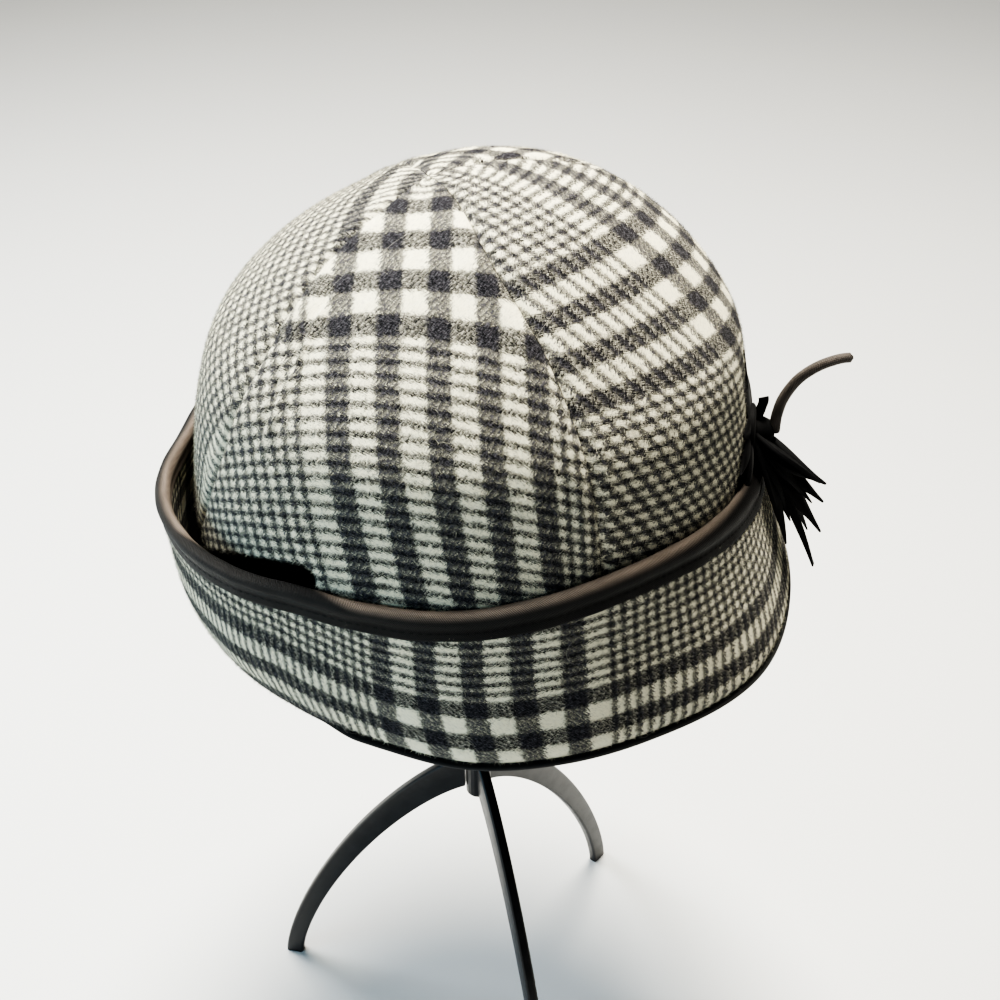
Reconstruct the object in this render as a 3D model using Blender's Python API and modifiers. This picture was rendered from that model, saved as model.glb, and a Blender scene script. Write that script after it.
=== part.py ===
"""Earflap cap with its flap turned up, on a plain tripod stand.

Metres, +Z up, floor at z = 0. Azimuths are degrees from +X towards +Y, and the cap is seen from -Y.
Heights on the cap are counted from the rim plane, the wool's lower edge.
"""

import math

import bmesh
import bpy
import numpy as np
from mathutils import Matrix, Vector

# Crown
CROWN_WIDTH = 0.1824
CROWN_LENGTH = 0.1880
CROWN_HEIGHT = 0.1374
CROWN_LEAN_X = 0.0095
CROWN_LEAN_Y = -0.0023
CROWN_BULGE_X = -0.0026
APEX_OFFSET = 0.022
APEX_AZIMUTH = 164.0
APEX_HOLE = 0.0016
WOOL = 0.0019
GAP = 0.0003

# Turned-up flap
RIM_HEIGHT = 0.2700
RIM_FLARE = 0.0155
FLARE_RISE = 0.0450
FLAP_HEIGHT = 0.0560
FLAP_STAND_OFF = 0.0078
FLAP_TUCK = 0.0032
HUG_GAP = 0.0004

# Bindings
TAPE = 0.0010
TAPE_WIDTH = 0.0064
TAPE_ROLL = 0.0030
RIM_BEAD = 0.0022
RIM_LIP = 0.0004

# Flower
FLOWER_AZIMUTH = -9.0
FLOWER_HEIGHT = 0.0560
BACKING_RADIUS = 0.0085
BACKING_THICKNESS = 0.0030
KNOT_RADIUS = 0.0032
KNOT_LENGTH = 0.0075
PETAL_LENGTH = 0.0620
PETAL_WIDTH = 0.0085
PETAL_THICKNESS = 0.0014
STEM_RADIUS = 0.0012
STEM_RISE = 0.0270
STEM_REACH = 0.0210

# Stand
LEG_AZIMUTH = 50.0
FOOT_REACH = 0.0940
LEG_RISE = 0.1580
FOOT_LENGTH = 0.0080
LEG_DEPTH = 0.0180
LEG_CURVE = 1.36
BLADE = 0.0042
HUB_RADIUS = 0.0050
HUB_OVERHANG = 0.0040
HEAD_RADIUS = 0.0150
HEAD_THICKNESS = 0.0080
RIB_DEPTH = 0.0100
RIB_BOTTOM = 0.0400
CARRY_GAP = 0.0008

# Facets
GORE_COLUMNS = 10
GORE_ROWS = 18
RING_STATIONS = 72
PETAL_STATIONS = 7
LEG_STATIONS = 14
RIB_STATIONS = 12

# The crown's half profile from its top to the hem. rise is a share of the crown's height above the
# rim, reach a share of its half width.
CROWN_PROFILE = (
    # rise, reach
    (1.000, 0.000),
    (0.984, 0.190),
    (0.944, 0.380),
    (0.874, 0.560),
    (0.776, 0.740),
    (0.659, 0.880),
    (0.506, 0.943),
    (0.320, 0.975),
    (0.145, 1.000),
    (0.000, 1.000),
)

# The seams where two gores meet, as azimuths where down is each of SEAM_DOWNS.
SEAM_DOWNS = (0.0, 0.2, 0.4, 0.6, 0.8, 1.0)
SEAMS = (
    # gore that follows, then the azimuths
    ("front", -134, -138, -136, -144, -158, -166),
    ("right", -60, -66.5, -62.7, -61.3, -60.5, -60),
    ("back", 18, 18, 18, 18, 18, 18),
    ("left", 110, 110, 110, 110, 110, 110),
)

# The flap by azimuth. rim is a share of RIM_FLARE, top a share of FLAP_HEIGHT, off a share of
# FLAP_STAND_OFF and tuck a share of FLAP_TUCK.
FLAP = (
    # azimuth, rim, top, off, tuck
    (-180, 0.17, 0.80, 0.30, 0.60),
    (-165, 0.06, 0.80, 1.00, 0.90),
    (-150, 0.00, 0.82, 1.00, 1.00),
    (-135, 0.00, 0.86, 0.62, 1.00),
    (-120, 0.00, 0.90, 0.05, 0.70),
    (-105, 0.06, 0.92, 0.00, 0.25),
    (-90, 0.33, 0.94, 0.00, 0.05),
    (-75, 0.44, 0.99, 0.00, 0.02),
    (-60, 0.57, 1.02, 0.00, 0.00),
    (-35, 0.98, 0.935, 0.00, 0.05),
    (-15, 0.87, 0.81, 0.00, 0.10),
    (0, 0.78, 0.75, 0.00, 0.10),
    (30, 0.67, 0.76, 0.00, 0.05),
    (60, 0.46, 0.84, 0.00, 0.00),
    (90, 0.28, 0.88, 0.00, 0.00),
    (120, 0.20, 0.88, 0.00, 0.05),
    (150, 0.19, 0.85, 0.00, 0.20),
)

# Where the flap's sections lie, as shares of its height.
FLAP_SHARES = (0.0, 0.06, 0.16, 0.32, 0.52, 0.76, 1.0)

# The most that share * (1 - share)**2 reaches, a third of the way up.
BELLY_PEAK = 4 / 27

# The petals. turn is degrees from straight up towards the viewer's side, lift degrees off the
# crown at the root and curl how far the tip bends back to it, length and width shares of
# PETAL_LENGTH and PETAL_WIDTH.
PETALS = (
    # turn, lift, curl, length, width
    (-4, 6, 22, 0.52, 0.75),
    (10, 22, 0, 0.24, 0.62),
    (-52, 6, 28, 0.46, 0.95),
    (-92, 8, 38, 0.54, 0.95),
    (-150, 30, 20, 0.66, 1.00),
    (136, 30, 24, 0.42, 0.90),
    (152, 31, 24, 0.60, 0.95),
    (-168, 31, 16, 0.80, 1.00),
    (166, 34, 18, 0.90, 0.75),
    (176, 46, 6, 0.64, 1.05),
    (168, 56, 4, 0.55, 0.95),
)

# The stem's route beyond its root. up is a share of STEM_RISE, out of STEM_REACH.
STEM = (
    # up, out
    (0.00, 0.00),
    (0.22, 0.02),
    (0.46, 0.10),
    (0.70, 0.28),
    (0.87, 0.53),
    (0.97, 0.80),
    (1.00, 1.00),
)

WOOL_COLOUR = (0.36, 0.34, 0.32, 1.0)
TAPE_COLOUR = (0.10, 0.085, 0.075, 1.0)
BEAD_COLOUR = (0.045, 0.043, 0.045, 1.0)
PETAL_COLOUR = (0.010, 0.010, 0.012, 1.0)
STEM_COLOUR = (0.13, 0.11, 0.10, 1.0)
PLASTIC_COLOUR = (0.012, 0.012, 0.014, 1.0)


def hermite(xs, ys, x):
    """A smooth curve through the points (xs, ys), read at x."""
    xs = np.asarray(xs, float)
    ys = np.asarray(ys, float)
    slopes = np.gradient(ys, xs)
    i = int(np.clip(np.searchsorted(xs, x) - 1, 0, len(xs) - 2))
    span = xs[i + 1] - xs[i]
    t = (x - xs[i]) / span
    value = (2 * t**3 - 3 * t**2 + 1) * ys[i] + (3 * t**2 - 2 * t**3) * ys[i + 1]
    bend = (t**3 - 2 * t**2 + t) * slopes[i] + (t**3 - t**2) * slopes[i + 1]
    return float(value + span * bend)


def around(table, column, azimuth):
    """A column of a table whose first column is an azimuth, read smoothly all the way round."""
    rows = len(table)
    angles = [row[0] for row in table]
    values = [row[column] for row in table]
    turned = (azimuth - angles[0]) % 360 + angles[0]
    xs = [a - 360 for a in angles] + angles + [a + 360 for a in angles]
    ys = values * 3
    low = max(0, int(np.searchsorted(xs, turned)) - 3)
    high = min(3 * rows, low + 6)
    return hermite(xs[low:high], ys[low:high], turned)


def profile_curve():
    """Distance from the top along the half profile as a share, with the rise and reach there."""
    half_width = CROWN_WIDTH / 2
    rows = [(CROWN_PROFILE[1][0], -CROWN_PROFILE[1][1])] + list(CROWN_PROFILE)
    steps = [
        math.hypot((b[0] - a[0]) * CROWN_HEIGHT, (b[1] - a[1]) * half_width)
        for a, b in zip(rows, rows[1:])
    ]
    lengths = np.cumsum([-steps[0], *steps])
    return lengths, [row[0] for row in rows], [row[1] for row in rows]


PROFILE = profile_curve()
PROFILE_LENGTH = float(PROFILE[0][-1])


def rise_and_reach(down):
    """Height above the rim and reach share at a distance from the top, a share of the profile."""
    lengths, rises, reaches = PROFILE
    at = down * PROFILE_LENGTH
    return hermite(lengths, rises, at) * CROWN_HEIGHT, hermite(lengths, reaches, at)


DOWNS = np.linspace(0, 1, 200)
RISES = np.array([rise_and_reach(down)[0] for down in DOWNS])


def down_at(height):
    """The share of the profile at which the crown has this height."""
    return float(np.interp(-height, -RISES, DOWNS))


def lean(height):
    """The crown's middle at this height: the top leans over and the sides bulge a little."""
    share = max(0.0, height / CROWN_HEIGHT)
    x = CROWN_LEAN_X * share**2 + CROWN_BULGE_X * 4 * share * (1 - share)
    return Vector((x, CROWN_LEAN_Y * share**2, 0.0))


def crown_radius(azimuth, height):
    """The distance from the stand's axis to the crown's outside, without the flare at the hem."""
    reach = rise_and_reach(down_at(height))[1]
    a, b = reach * CROWN_WIDTH / 2, reach * CROWN_LENGTH / 2
    middle = lean(height)
    x, y = math.cos(math.radians(azimuth)), math.sin(math.radians(azimuth))
    square = (x / a) ** 2 + (y / b) ** 2
    cross = middle.x * x / a**2 + middle.y * y / b**2
    rest = (middle.x / a) ** 2 + (middle.y / b) ** 2 - 1
    return (cross + math.sqrt(cross**2 - square * rest)) / square


def rim_radius(azimuth):
    """The flap's outside at the rim plane."""
    return crown_radius(azimuth, 0.0) + 2 * WOOL + GAP + RIM_FLARE * around(FLAP, 1, azimuth)


def skin_radius(azimuth, height):
    """The crown's outside with the most that it flares there towards the rim."""
    flare = rim_radius(azimuth) - WOOL - GAP - crown_radius(azimuth, 0.0)
    return crown_radius(azimuth, height) + flare * max(0.0, 1 - height / FLARE_RISE) ** 2


def flap_top(azimuth):
    """Outside radius and height of the flap's upper wool edge, just under the tape's fold."""
    height = FLAP_HEIGHT * around(FLAP, 2, azimuth) - TAPE - GAP
    tape_and_wool = HUG_GAP + TAPE + GAP + WOOL
    off = max(0.0, FLAP_STAND_OFF * around(FLAP, 3, azimuth))
    lowest = height - TAPE_WIDTH
    inside = max(skin_radius(azimuth, height), skin_radius(azimuth, lowest) - TAPE_ROLL / 4)
    return inside + tape_and_wool + off, height


def flap_outside(azimuth, share):
    """Radius and height of the flap's outside, share 0 at the rim and 1 at the upper edge.

    The wool bellies out by the tuck, most a third of the way up.
    """
    top_radius, top_height = flap_top(azimuth)
    tuck = FLAP_TUCK * around(FLAP, 4, azimuth)
    height = GAP + (top_height - GAP) * share
    belly = tuck * share * (1 - share) ** 2 / BELLY_PEAK
    return rim_radius(azimuth) * (1 - share) + top_radius * share + belly, height


def flap_section(azimuth, share):
    """Outside radius, inside radius and height of the flap, its wool as thick as it is off the vertical."""
    step = 0.01
    low, high = max(0.0, share - step), min(1.0, share + step)
    r0, z0 = flap_outside(azimuth, low)
    r1, z1 = flap_outside(azimuth, high)
    radius, height = flap_outside(azimuth, share)
    return radius, radius - WOOL * math.hypot(1.0, (r1 - r0) / (z1 - z0)), height


def hem_radius(azimuth):
    """The crown's outside at the hem, inside the flap."""
    return flap_section(azimuth, 0.0)[1] - GAP


def crown_outside(azimuth, down):
    """A point of the crown's outside. down runs from 0 where the seams meet to 1 at the hem."""
    offset = APEX_OFFSET / PROFILE_LENGTH * (1 - down**2)
    turn = math.radians(azimuth)
    apex = math.radians(APEX_AZIMUTH)
    x = down * math.cos(turn) + offset * math.cos(apex)
    y = down * math.sin(turn) + offset * math.sin(apex)
    height, reach = rise_and_reach(min(1.0, math.hypot(x, y)))
    angle = math.atan2(y, x)
    point = lean(height)
    point.x += reach * CROWN_WIDTH / 2 * math.cos(angle)
    point.y += reach * CROWN_LENGTH / 2 * math.sin(angle)
    if height < FLARE_RISE:
        polar = math.degrees(math.atan2(point.y, point.x))
        spread = hem_radius(polar) / crown_radius(polar, 0.0) - 1
        point *= 1 + spread * (1 - height / FLARE_RISE) ** 2
    point.z = RIM_HEIGHT + max(height, GAP)
    return point


def crown_normal(azimuth, down):
    """The outward normal of the crown there."""
    turn, step = 0.5, 0.004
    across = crown_outside(azimuth + turn, down) - crown_outside(azimuth - turn, down)
    low, high = max(0.001, down - step), min(1.0, down + step)
    along = crown_outside(azimuth, high) - crown_outside(azimuth, low)
    return along.cross(across).normalized()


def seam_azimuth(seam, down):
    """The azimuth of a seam this far down."""
    turns = SEAMS[seam % len(SEAMS)][1:]
    return hermite(SEAM_DOWNS, turns, down) + 360 * (seam // len(SEAMS))


def material(name, colour, roughness, metallic=0.0):
    made = bpy.data.materials.new(name)
    made.use_nodes = True
    shader = made.node_tree.nodes["Principled BSDF"]
    shader.inputs["Base Color"].default_value = colour
    shader.inputs["Roughness"].default_value = roughness
    shader.inputs["Metallic"].default_value = metallic
    return made


def add_object(name, data, look):
    made = bpy.data.objects.new(name, data)
    data.materials.append(look)
    PARTS.objects.link(made)
    made.parent = BASE
    return made


def loft(name, loops, look, closed=False):
    """A closed solid through loops of points. Open ends are closed across, first point to last."""
    mesh = bmesh.new()
    rings = [[mesh.verts.new(point) for point in loop] for loop in loops]
    count = len(rings[0])
    pairs = list(zip(rings, rings[1:]))
    if closed:
        pairs.append((rings[-1], rings[0]))
    for first, second in pairs:
        for i in range(count):
            j = (i + 1) % count
            mesh.faces.new((first[i], first[j], second[j], second[i]))
    if not closed:
        for ring in (rings[0], rings[-1]):
            for i in range(count // 2 - 1):
                mesh.faces.new((ring[i], ring[i + 1], ring[count - 2 - i], ring[count - 1 - i]))
    bmesh.ops.recalc_face_normals(mesh, faces=mesh.faces)
    data = bpy.data.meshes.new(name)
    mesh.to_mesh(data)
    mesh.free()
    data.shade_smooth()
    data.set_sharp_from_angle(angle=math.radians(40))
    return add_object(name, data, look)


def polar(azimuth, radius, height):
    """A point of the cap at this azimuth, radius and height above the rim."""
    turn = math.radians(azimuth)
    return Vector((radius * math.cos(turn), radius * math.sin(turn), RIM_HEIGHT + height))


def crown_gore(seam):
    """One sewn panel of the crown, from seam to seam and from hem to top."""
    loops = []
    top = APEX_HOLE / PROFILE_LENGTH
    for row in range(GORE_ROWS + 1):
        down = top + (1 - top) * row / GORE_ROWS
        sides = []
        for side, sign in ((seam, 1), (seam + 1, -1)):
            edge = seam_azimuth(side, down)
            speed = (crown_outside(edge + 0.5, down) - crown_outside(edge - 0.5, down)).length
            sides.append(edge + sign * GAP / 2 / speed)
        outer, inner = [], []
        for column in range(GORE_COLUMNS + 1):
            azimuth = sides[0] + (sides[1] - sides[0]) * column / GORE_COLUMNS
            point = crown_outside(azimuth, down)
            inside = point - WOOL * crown_normal(azimuth, down)
            if row == GORE_ROWS:
                inside.z = point.z
            outer.append(point)
            inner.append(inside)
        loops.append(outer + inner[::-1])
    loft(f"crown_gore_{SEAMS[seam][0]}", loops, WOOL_LOOK)


def ring_azimuths():
    return [360 * i / RING_STATIONS - 180 for i in range(RING_STATIONS)]


def flap_band():
    """The earflap band, turned up all the way round."""
    loops = []
    for azimuth in ring_azimuths():
        sections = [flap_section(azimuth, share) for share in FLAP_SHARES]
        outer = [polar(azimuth, radius, height) for radius, _, height in sections]
        inner = [polar(azimuth, inside, height) for _, inside, height in sections]
        loops.append(outer + inner[::-1])
    loft("flap_band", loops, FLAP_LOOK, closed=True)


def flap_binding():
    """Tape folded over the flap's upper edge, with a fuller roll along its fold."""
    slot_out, slot_in = GAP, -WOOL - GAP
    face_out, face_in = slot_out + TAPE, slot_in - TAPE
    section = (
        # outwards from the wool's outside, up from its edge
        (face_out, -TAPE_WIDTH),
        (face_out, -TAPE_ROLL),
        (face_out + TAPE / 2, -TAPE_ROLL / 2),
        (face_out, 0.0),
        ((slot_out + slot_in) / 2, GAP + TAPE),
        (face_in, 0.0),
        (face_in, -TAPE_WIDTH),
        (slot_in, -TAPE_WIDTH),
        (slot_in, GAP),
        (slot_out, GAP),
        (slot_out, -TAPE_WIDTH),
    )
    loops = []
    for azimuth in ring_azimuths():
        radius, height = flap_outside(azimuth, 1.0)
        low_radius, low_height = flap_outside(azimuth, FLAP_SHARES[-2])
        slope = (radius - low_radius) / (height - low_height)
        widen = math.hypot(1.0, slope)
        loop = []
        for out, up in section:
            loop.append(polar(azimuth, radius + up * slope + out * widen, height + up))
        loops.append(loop)
    loft("flap_binding", loops, TAPE_LOOK, closed=True)


def rim_binding():
    """The narrow rounded binding under the wool, below both the crown's hem and the flap's."""
    loops = []
    for azimuth in ring_azimuths():
        outer = rim_radius(azimuth) + RIM_LIP
        inner = hem_radius(azimuth) - 2 * WOOL
        bevel = RIM_BEAD / 3
        section = (
            (inner, 0.0),
            (inner, -RIM_BEAD + bevel),
            (inner + bevel, -RIM_BEAD),
            (outer - bevel, -RIM_BEAD),
            (outer, -RIM_BEAD + bevel),
            (outer, 0.0),
        )
        loops.append([polar(azimuth, radius, height) for radius, height in section])
    loft("rim_binding", loops, BEAD_LOOK, closed=True)


def flower_frame():
    """The flower's seat on the crown: a point, the way out, the way up and the viewer's side."""
    turn, step = 1.0, 0.002

    def skin(azimuth, height):
        return polar(azimuth, crown_radius(azimuth, height), height)

    seat = skin(FLOWER_AZIMUTH, FLOWER_HEIGHT)
    across = skin(FLOWER_AZIMUTH + turn, FLOWER_HEIGHT) - seat
    climb = skin(FLOWER_AZIMUTH, FLOWER_HEIGHT + step) - seat
    out = across.cross(climb).normalized()
    side = -across.normalized()
    return seat, out, side.cross(out).normalized(), side


def petal(index, frame):
    """A pointed leaf-shaped strip that leaves the backing and lifts off the crown."""
    turn, lift, curl, length, width = PETALS[index]
    seat, out, up, side = frame
    layer = (index + 0.5) / len(PETALS)
    middle = seat + out * (GAP + BACKING_THICKNESS * (0.25 + 0.5 * layer))
    flat = up * math.cos(math.radians(turn)) + side * math.sin(math.radians(turn))
    across = flat.cross(out).normalized()
    half = PETAL_THICKNESS / 2
    stride = length * PETAL_LENGTH / PETAL_STATIONS
    loops = []
    for i in range(PETAL_STATIONS + 1):
        share = i / PETAL_STATIONS
        angle = math.radians(lift - curl * share)
        along = flat * math.cos(angle) + out * math.sin(angle)
        face = out * math.cos(angle) - flat * math.sin(angle)
        spread = (0.30 + 0.70 * math.sin(math.pi * min(1.0, share + 0.12) ** 0.9)) * (1 - share**4)
        wide = max(0.06, spread) * width * PETAL_WIDTH / 2
        crease = PETAL_THICKNESS * math.sin(math.pi * share)
        loops.append(
            [
                middle - across * wide + face * (half - crease),
                middle + face * half,
                middle + across * wide + face * (half - crease),
                middle + across * wide - face * (half + crease),
                middle - face * half,
                middle - across * wide - face * (half + crease),
            ]
        )
        middle = middle + along * stride
    return loft(f"petal_{index}", loops, PETAL_LOOK)


def round_bar(name, radius, length, base, axis, sides, look):
    """A short cylinder from base along axis."""
    mesh = bmesh.new()
    bmesh.ops.create_cone(
        mesh, cap_ends=True, segments=sides, radius1=radius, radius2=radius, depth=length
    )
    data = bpy.data.meshes.new(name)
    mesh.to_mesh(data)
    mesh.free()
    made = add_object(name, data, look)
    turned = axis.to_track_quat("Z", "Y").to_matrix().to_4x4()
    made.matrix_world = Matrix.Translation(base + axis * length / 2) @ turned
    return made


def join_into(target, pieces):
    """Fuses the pieces into target with Boolean unions."""
    for piece in pieces:
        join = target.modifiers.new(f"join_{piece.name}", "BOOLEAN")
        join.operation = "UNION"
        join.solver = "MANIFOLD"
        join.object = piece
        piece.hide_render = True
        piece.display_type = "WIRE"
        PARTS.objects.unlink(piece)
        HELPERS.objects.link(piece)


def flower():
    """Petals fused to a round backing, with a knot in the middle."""
    frame = flower_frame()
    seat, out, _, _ = frame
    base = seat + out * GAP
    backing = round_bar("flower", BACKING_RADIUS, BACKING_THICKNESS, base, out, 14, PETAL_LOOK)
    knot = round_bar("knot", KNOT_RADIUS, KNOT_LENGTH, base, out, 10, PETAL_LOOK)
    join_into(backing, [knot, *(petal(i, frame) for i in range(len(PETALS)))])


def flower_stem():
    """A thin rolled stem that stands on the knot, curves up and then outwards."""
    seat, out, up, _ = flower_frame()
    root = seat + out * (2 * GAP + KNOT_LENGTH + STEM_RADIUS)
    shares = [i / (len(STEM) - 1) for i in range(len(STEM))]
    data = bpy.data.curves.new("flower_stem", "CURVE")
    data.dimensions = "3D"
    data.bevel_depth = STEM_RADIUS
    data.bevel_resolution = 1
    data.use_fill_caps = True
    spline = data.splines.new("POLY")
    count = 3 * len(STEM)
    spline.points.add(count - 1)
    for i, point in enumerate(spline.points):
        share = i / (count - 1)
        rise = STEM_RISE * hermite(shares, [row[0] for row in STEM], share)
        reach = STEM_REACH * hermite(shares, [row[1] for row in STEM], share)
        point.co = (*(root + up * rise + out * reach), 1.0)
        point.radius = 1.0 - 0.25 * share
    add_object("flower_stem", data, STEM_LOOK)


def blade(name, outline, azimuth, look):
    """A flat plate standing on edge in the vertical plane through the axis at this azimuth."""
    data = bpy.data.curves.new(name, "CURVE")
    data.dimensions = "2D"
    data.fill_mode = "BOTH"
    data.extrude = BLADE / 2
    spline = data.splines.new("POLY")
    spline.points.add(len(outline) - 1)
    for point, (radius, height) in zip(spline.points, outline):
        point.co = (radius, height, 0.0, 1.0)
    spline.use_cyclic_u = True
    made = add_object(name, data, look)
    upright = Matrix.Rotation(math.radians(azimuth), 4, "Z") @ Matrix.Rotation(math.pi / 2, 4, "X")
    made.matrix_world = upright
    return made


def arch(reach, rise, turn):
    """A point of the legs' curve: turn 0 at the floor, 1 at the hub's side."""
    angle = turn * math.pi / 2
    return reach * math.cos(angle) ** (2 / LEG_CURVE), rise * math.sin(angle) ** (2 / LEG_CURVE)


def arch_edge(reach, rise, hub):
    """The curve from the floor in to the hub's side, cut there."""
    share = (hub / reach) ** (LEG_CURVE / 2)
    last = math.acos(share) / (math.pi / 2)
    return [arch(reach, rise, last * i / LEG_STATIONS) for i in range(LEG_STATIONS + 1)]


def stand_leg(name, azimuth):
    """An arched blade from the hub down to a flat sole."""
    hub = HUB_RADIUS + GAP
    upper = arch_edge(FOOT_REACH, LEG_RISE, hub)
    lower = arch_edge(FOOT_REACH - FOOT_LENGTH, LEG_RISE - LEG_DEPTH, hub)
    blade(f"stand_leg_{name}", upper + lower[::-1], azimuth, PLASTIC_LOOK)


def down_clear_of(radius):
    """The share of the profile where the leaning crown has grown past this radius on every side."""
    wanted = radius + lean(CROWN_HEIGHT).length
    return next(down for down in DOWNS if rise_and_reach(down)[1] * CROWN_WIDTH / 2 > wanted)


def head_height():
    """Height above the rim of the post's head, just under the crown's top."""
    return rise_and_reach(down_clear_of(HEAD_RADIUS))[0] - WOOL - CARRY_GAP


def stand_post():
    """Hub, post and round head in one turned piece."""
    bottom = LEG_RISE - LEG_DEPTH - HUB_OVERHANG
    top = RIM_HEIGHT + head_height()
    profile = (
        # radius, height, from the top down
        (0.0, top),
        (HEAD_RADIUS, top),
        (HEAD_RADIUS, top - HEAD_THICKNESS),
        (HUB_RADIUS, top - 2 * HEAD_THICKNESS),
        (HUB_RADIUS, bottom),
        (0.0, bottom),
    )
    mesh = bmesh.new()
    verts = [mesh.verts.new((radius, 0.0, height)) for radius, height in profile]
    for first, second in zip(verts, verts[1:]):
        mesh.edges.new((first, second))
    data = bpy.data.meshes.new("stand_post")
    mesh.to_mesh(data)
    mesh.free()
    made = add_object("stand_post", data, PLASTIC_LOOK)
    turned = made.modifiers.new("turned", "SCREW")
    turned.steps = 20
    turned.render_steps = 20
    turned.use_merge_vertices = True
    turned.merge_threshold = 0.00001
    turned.use_normal_calculate = True


def stand_rib(name, azimuth):
    """An arched blade under the crown, from the post's head down its inside."""
    start = HEAD_RADIUS + GAP
    shares = [i / RIB_STATIONS for i in range(RIB_STATIONS + 1)]
    edge = []
    first = down_clear_of(start)
    last = down_at(RIB_BOTTOM)
    for share in shares:
        height = rise_and_reach(first + (last - first) * share)[0]
        edge.append(Vector((crown_radius(azimuth, height), height)))
    outer, inner = [], []
    for i, point in enumerate(edge):
        along = (edge[min(i + 1, RIB_STATIONS)] - edge[max(i - 1, 0)]).normalized()
        inward = Vector((along.y, -along.x))
        if inward.x > 0:
            inward.negate()
        outer.append(point + inward * (WOOL + CARRY_GAP))
        inner.append(point + inward * (WOOL + CARRY_GAP + RIB_DEPTH))
    outline = [(max(p.x, start), RIM_HEIGHT + p.y) for p in outer + inner[::-1]]
    blade(f"stand_rib_{name}", outline, azimuth, PLASTIC_LOOK)


def centre_on_origin():
    """Moves the whole object so that its footprint's middle is at x = y = 0."""
    bpy.context.view_layer.update()
    graph = bpy.context.evaluated_depsgraph_get()
    points = []
    for part in PARTS.objects:
        if part.type == "EMPTY":
            continue
        evaluated = part.evaluated_get(graph)
        mesh = evaluated.to_mesh()
        points += [evaluated.matrix_world @ vertex.co for vertex in mesh.vertices]
        evaluated.to_mesh_clear()
    for axis in (0, 1):
        values = [point[axis] for point in points]
        BASE.location[axis] = -(min(values) + max(values)) / 2


for old in list(bpy.data.objects):
    bpy.data.objects.remove(old, do_unlink=True)

PARTS = bpy.data.collections.new("earflap_cap")
HELPERS = bpy.data.collections.new("earflap_cap_helpers")
bpy.context.scene.collection.children.link(PARTS)
bpy.context.scene.collection.children.link(HELPERS)
BASE = bpy.data.objects.new("earflap_cap_base", None)
PARTS.objects.link(BASE)

WOOL_LOOK = material("crown_wool", WOOL_COLOUR, 0.95)
FLAP_LOOK = material("flap_wool", WOOL_COLOUR, 0.95)
TAPE_LOOK = material("flap_tape", TAPE_COLOUR, 0.70)
BEAD_LOOK = material("rim_tape", BEAD_COLOUR, 0.60)
PETAL_LOOK = material("flower_petals", PETAL_COLOUR, 0.60)
STEM_LOOK = material("flower_stem", STEM_COLOUR, 0.65)
PLASTIC_LOOK = material("stand_plastic", PLASTIC_COLOUR, 0.30)

for seam in range(len(SEAMS)):
    crown_gore(seam)
flap_band()
flap_binding()
rim_binding()
flower()
flower_stem()
stand_post()
for step, name in enumerate(("right", "left", "front")):
    stand_leg(name, LEG_AZIMUTH + 120 * step)
    stand_rib(name, LEG_AZIMUTH + 120 * step)
centre_on_origin()
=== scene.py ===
"""Dresses the earflap cap and its plain tripod stand.

Metres, +Z up, in the frame of the solids. Azimuths are degrees from +X towards +Y, and the cap is
seen from -Y. Heights on the cap are counted from the rim plane, the wool's lower edge.
"""

import math

import bmesh
import bpy
import numpy as np
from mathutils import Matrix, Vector


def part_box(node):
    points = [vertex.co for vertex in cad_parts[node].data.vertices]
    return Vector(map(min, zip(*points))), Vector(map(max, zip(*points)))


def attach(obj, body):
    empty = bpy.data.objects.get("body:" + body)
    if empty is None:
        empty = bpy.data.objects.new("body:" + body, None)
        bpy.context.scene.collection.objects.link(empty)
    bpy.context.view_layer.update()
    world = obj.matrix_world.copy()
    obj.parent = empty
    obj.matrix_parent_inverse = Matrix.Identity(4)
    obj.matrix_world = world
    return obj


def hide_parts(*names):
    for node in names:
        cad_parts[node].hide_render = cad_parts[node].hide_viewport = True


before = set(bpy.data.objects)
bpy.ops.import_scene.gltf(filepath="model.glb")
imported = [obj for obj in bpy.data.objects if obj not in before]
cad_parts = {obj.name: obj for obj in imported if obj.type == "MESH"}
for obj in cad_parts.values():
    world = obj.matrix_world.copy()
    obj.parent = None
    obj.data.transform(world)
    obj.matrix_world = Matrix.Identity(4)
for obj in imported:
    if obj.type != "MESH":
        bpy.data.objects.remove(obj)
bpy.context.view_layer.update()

POST_LOW, POST_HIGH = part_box("stand_post")
AXIS = np.array([(POST_LOW.x + POST_HIGH.x) / 2, (POST_LOW.y + POST_HIGH.y) / 2, 0.0])

# Crown
CROWN_WIDTH = 0.1824
CROWN_LENGTH = 0.1880
CROWN_HEIGHT = 0.1374
CROWN_LEAN_X = 0.0095
CROWN_LEAN_Y = -0.0023
CROWN_BULGE_X = -0.0026
APEX_OFFSET = 0.022
APEX_AZIMUTH = 164.0
APEX_HOLE = 0.0005
WOOL = 0.0019
GAP = 0.0003
SEAM_GAP = 0.00022
SEAM_CLOSES = (0.55, 0.75)
SEAM_CLOSED = 0.8

# Turned-up flap
RIM_HEIGHT = 0.2700
RIM_FLARE = 0.0155
FLARE_RISE = 0.0450
FLAP_HEIGHT = 0.0560
FLAP_STAND_OFF = 0.0078
FLAP_TUCK = 0.0032
HUG_GAP = 0.0004
BELLY_PEAK = 4 / 27

# Bindings. TAPE_FOOT is the share of the flap's height from which the tape's slope is taken.
TAPE = 0.0010
TAPE_WIDTH = 0.0064
TAPE_ROLL = 0.0030
TAPE_CLOTH = 0.0006
TAPE_POINTS = 34
TAPE_FOOT = 0.76
STITCH_AT = 0.0034
STITCH_PITCH = 0.0026
RIM_BEAD = 0.0022
RIM_LIP = 0.0004
RIM_STEP = 0.0006

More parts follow.
